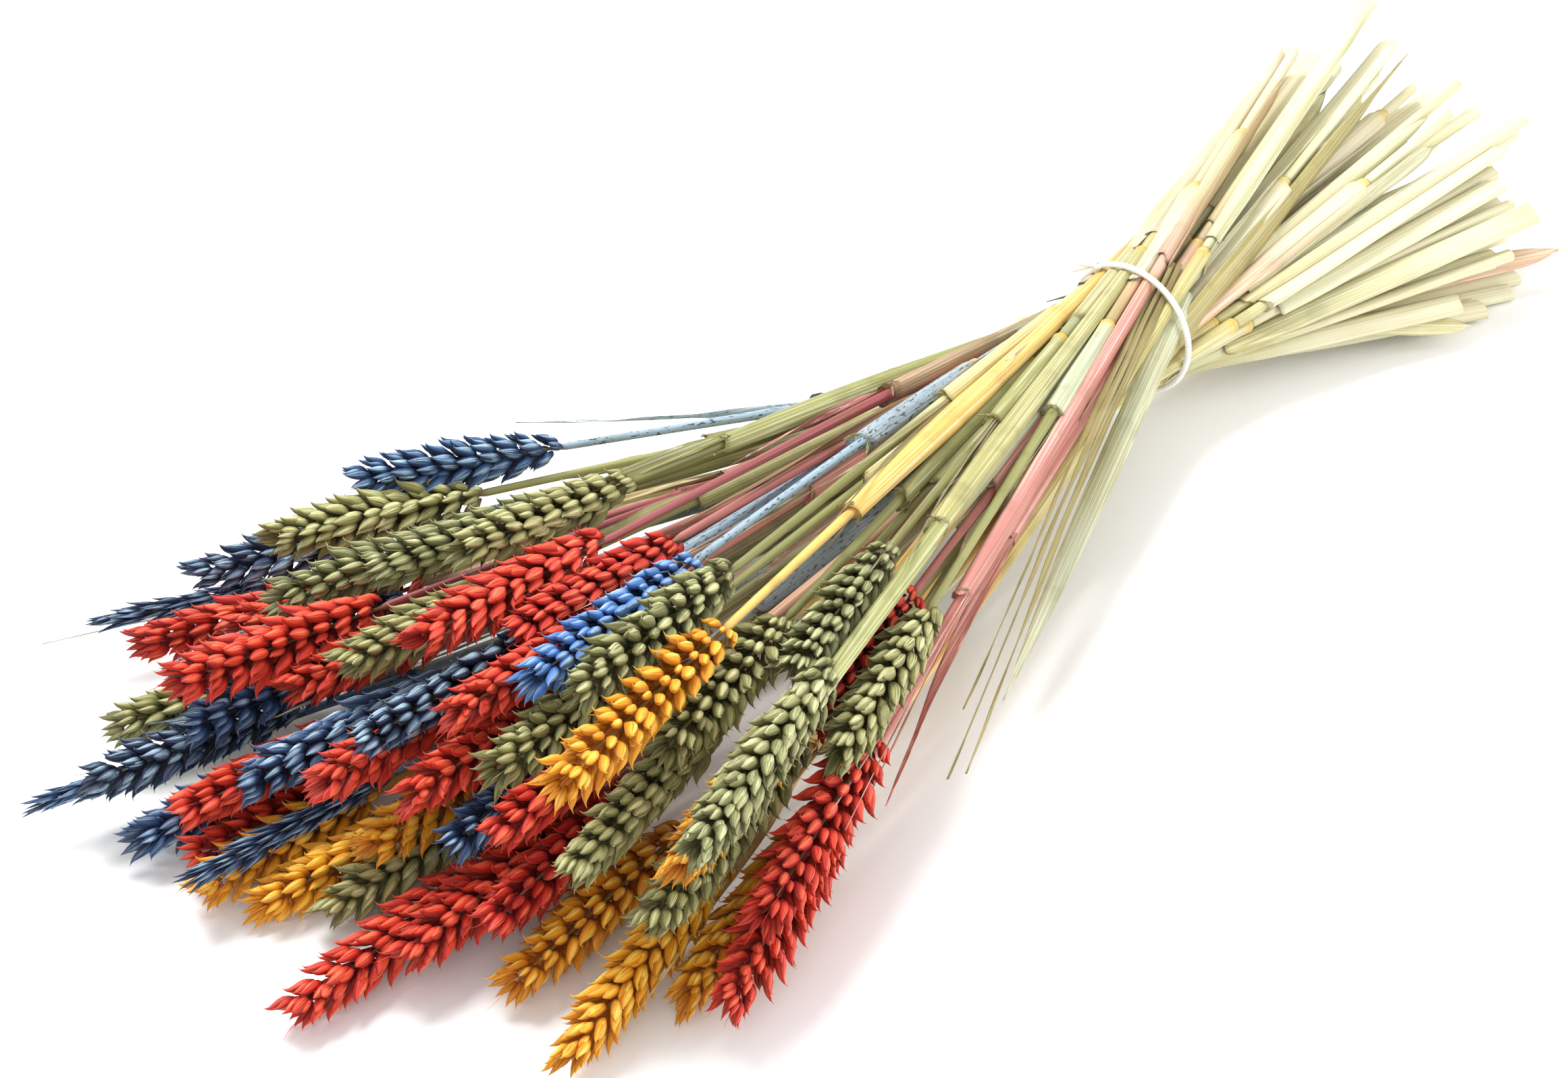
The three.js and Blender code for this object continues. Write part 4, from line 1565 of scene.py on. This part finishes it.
class WHEAT_OT_stage(bpy.types.Operator):
    """Set up the pale floor, the soft lights and the camera"""

    bl_idname = "wheat.stage"
    bl_label = "Floor, Lights and Camera"

    def execute(self, context):
        scene = context.scene
        self.floor()
        self.lights(scene)
        self.camera(scene)
        scene.view_settings.view_transform = "Standard"
        return {"FINISHED"}

    def floor(self):
        half = FLOOR_HALF
        corners = [(-half, -half, 0), (half, -half, 0), (half, half, 0), (-half, half, 0)]
        floor = new_mesh("floor", corners, [(0, 1, 2, 3)])
        floor.data.materials.append(floor_finish())

    def lights(self, scene):
        world = bpy.data.worlds.new("soft_white")
        world.use_nodes = True
        sky = world.node_tree.nodes["Background"]
        sky.inputs["Color"].default_value = (1, 1, 1, 1)
        sky.inputs["Strength"].default_value = SKY_STRENGTH
        scene.world = world
        for name, place, size, power in LAMPS:
            data = bpy.data.lights.new(name, "AREA")
            data.size = size
            data.energy = power
            lamp = new_object(name, data)
            lamp.location = place
            aimed(lamp, TIE - Vector(place))

    def camera(self, scene):
        """Looks down across the bunch, half-way between +X and +Y, from the ears' side."""
        data = bpy.data.cameras.new("camera")
        data.lens = LENS
        data.sensor_width = SENSOR
        data.clip_start = NEAREST
        data.shift_y = SHIFT_UP
        camera = new_object("camera", data)
        camera.location = TIE + CAMERA_FROM_TIE
        level = math.cos(CAMERA_TILT) / math.sqrt(2)
        aimed(camera, Vector((level, level, -math.sin(CAMERA_TILT))))
        scene.camera = camera


class WHEAT_PT_panel(bpy.types.Panel):
    """Lists the pieces of the bunch and their sizes"""

    bl_idname = "WHEAT_PT_panel"
    bl_label = "Tied Bunch of Wheat"
    bl_space_type = "VIEW_3D"
    bl_region_type = "UI"
    bl_category = "Wheat"

    def draw(self, context):
        for dye in DYES:
            self.layout.operator("wheat.stalks", text=dye.title() + " Stalks").dye = dye
        for name in ("wheat.leaves", "wheat.elastic", "wheat.stage"):
            self.layout.operator(name)
        for group in GROUPS:
            settings = getattr(context.scene, group)
            box = self.layout.box()
            for prop in settings.bl_rna.properties:
                if prop.identifier not in ("rna_type", "name"):
                    box.prop(settings, prop.identifier)


CLASSES = (
    *GROUPS.values(),
    WHEAT_OT_stalks,
    WHEAT_OT_leaves,
    WHEAT_OT_elastic,
    WHEAT_OT_stage,
    WHEAT_PT_panel,
)


def register():
    for cls in CLASSES:
        bpy.utils.register_class(cls)
    for name, group in GROUPS.items():
        setattr(bpy.types.Scene, name, bpy.props.PointerProperty(type=group))


def unregister():
    for name in GROUPS:
        delattr(bpy.types.Scene, name)
    for cls in reversed(CLASSES):
        bpy.utils.unregister_class(cls)


def main():
    register()
    bpy.ops.wheat.stage()
    for dye in DYES:
        bpy.ops.wheat.stalks(dye=dye)
    bpy.ops.wheat.leaves()
    bpy.ops.wheat.elastic()


if __name__ == "__main__":
    main()
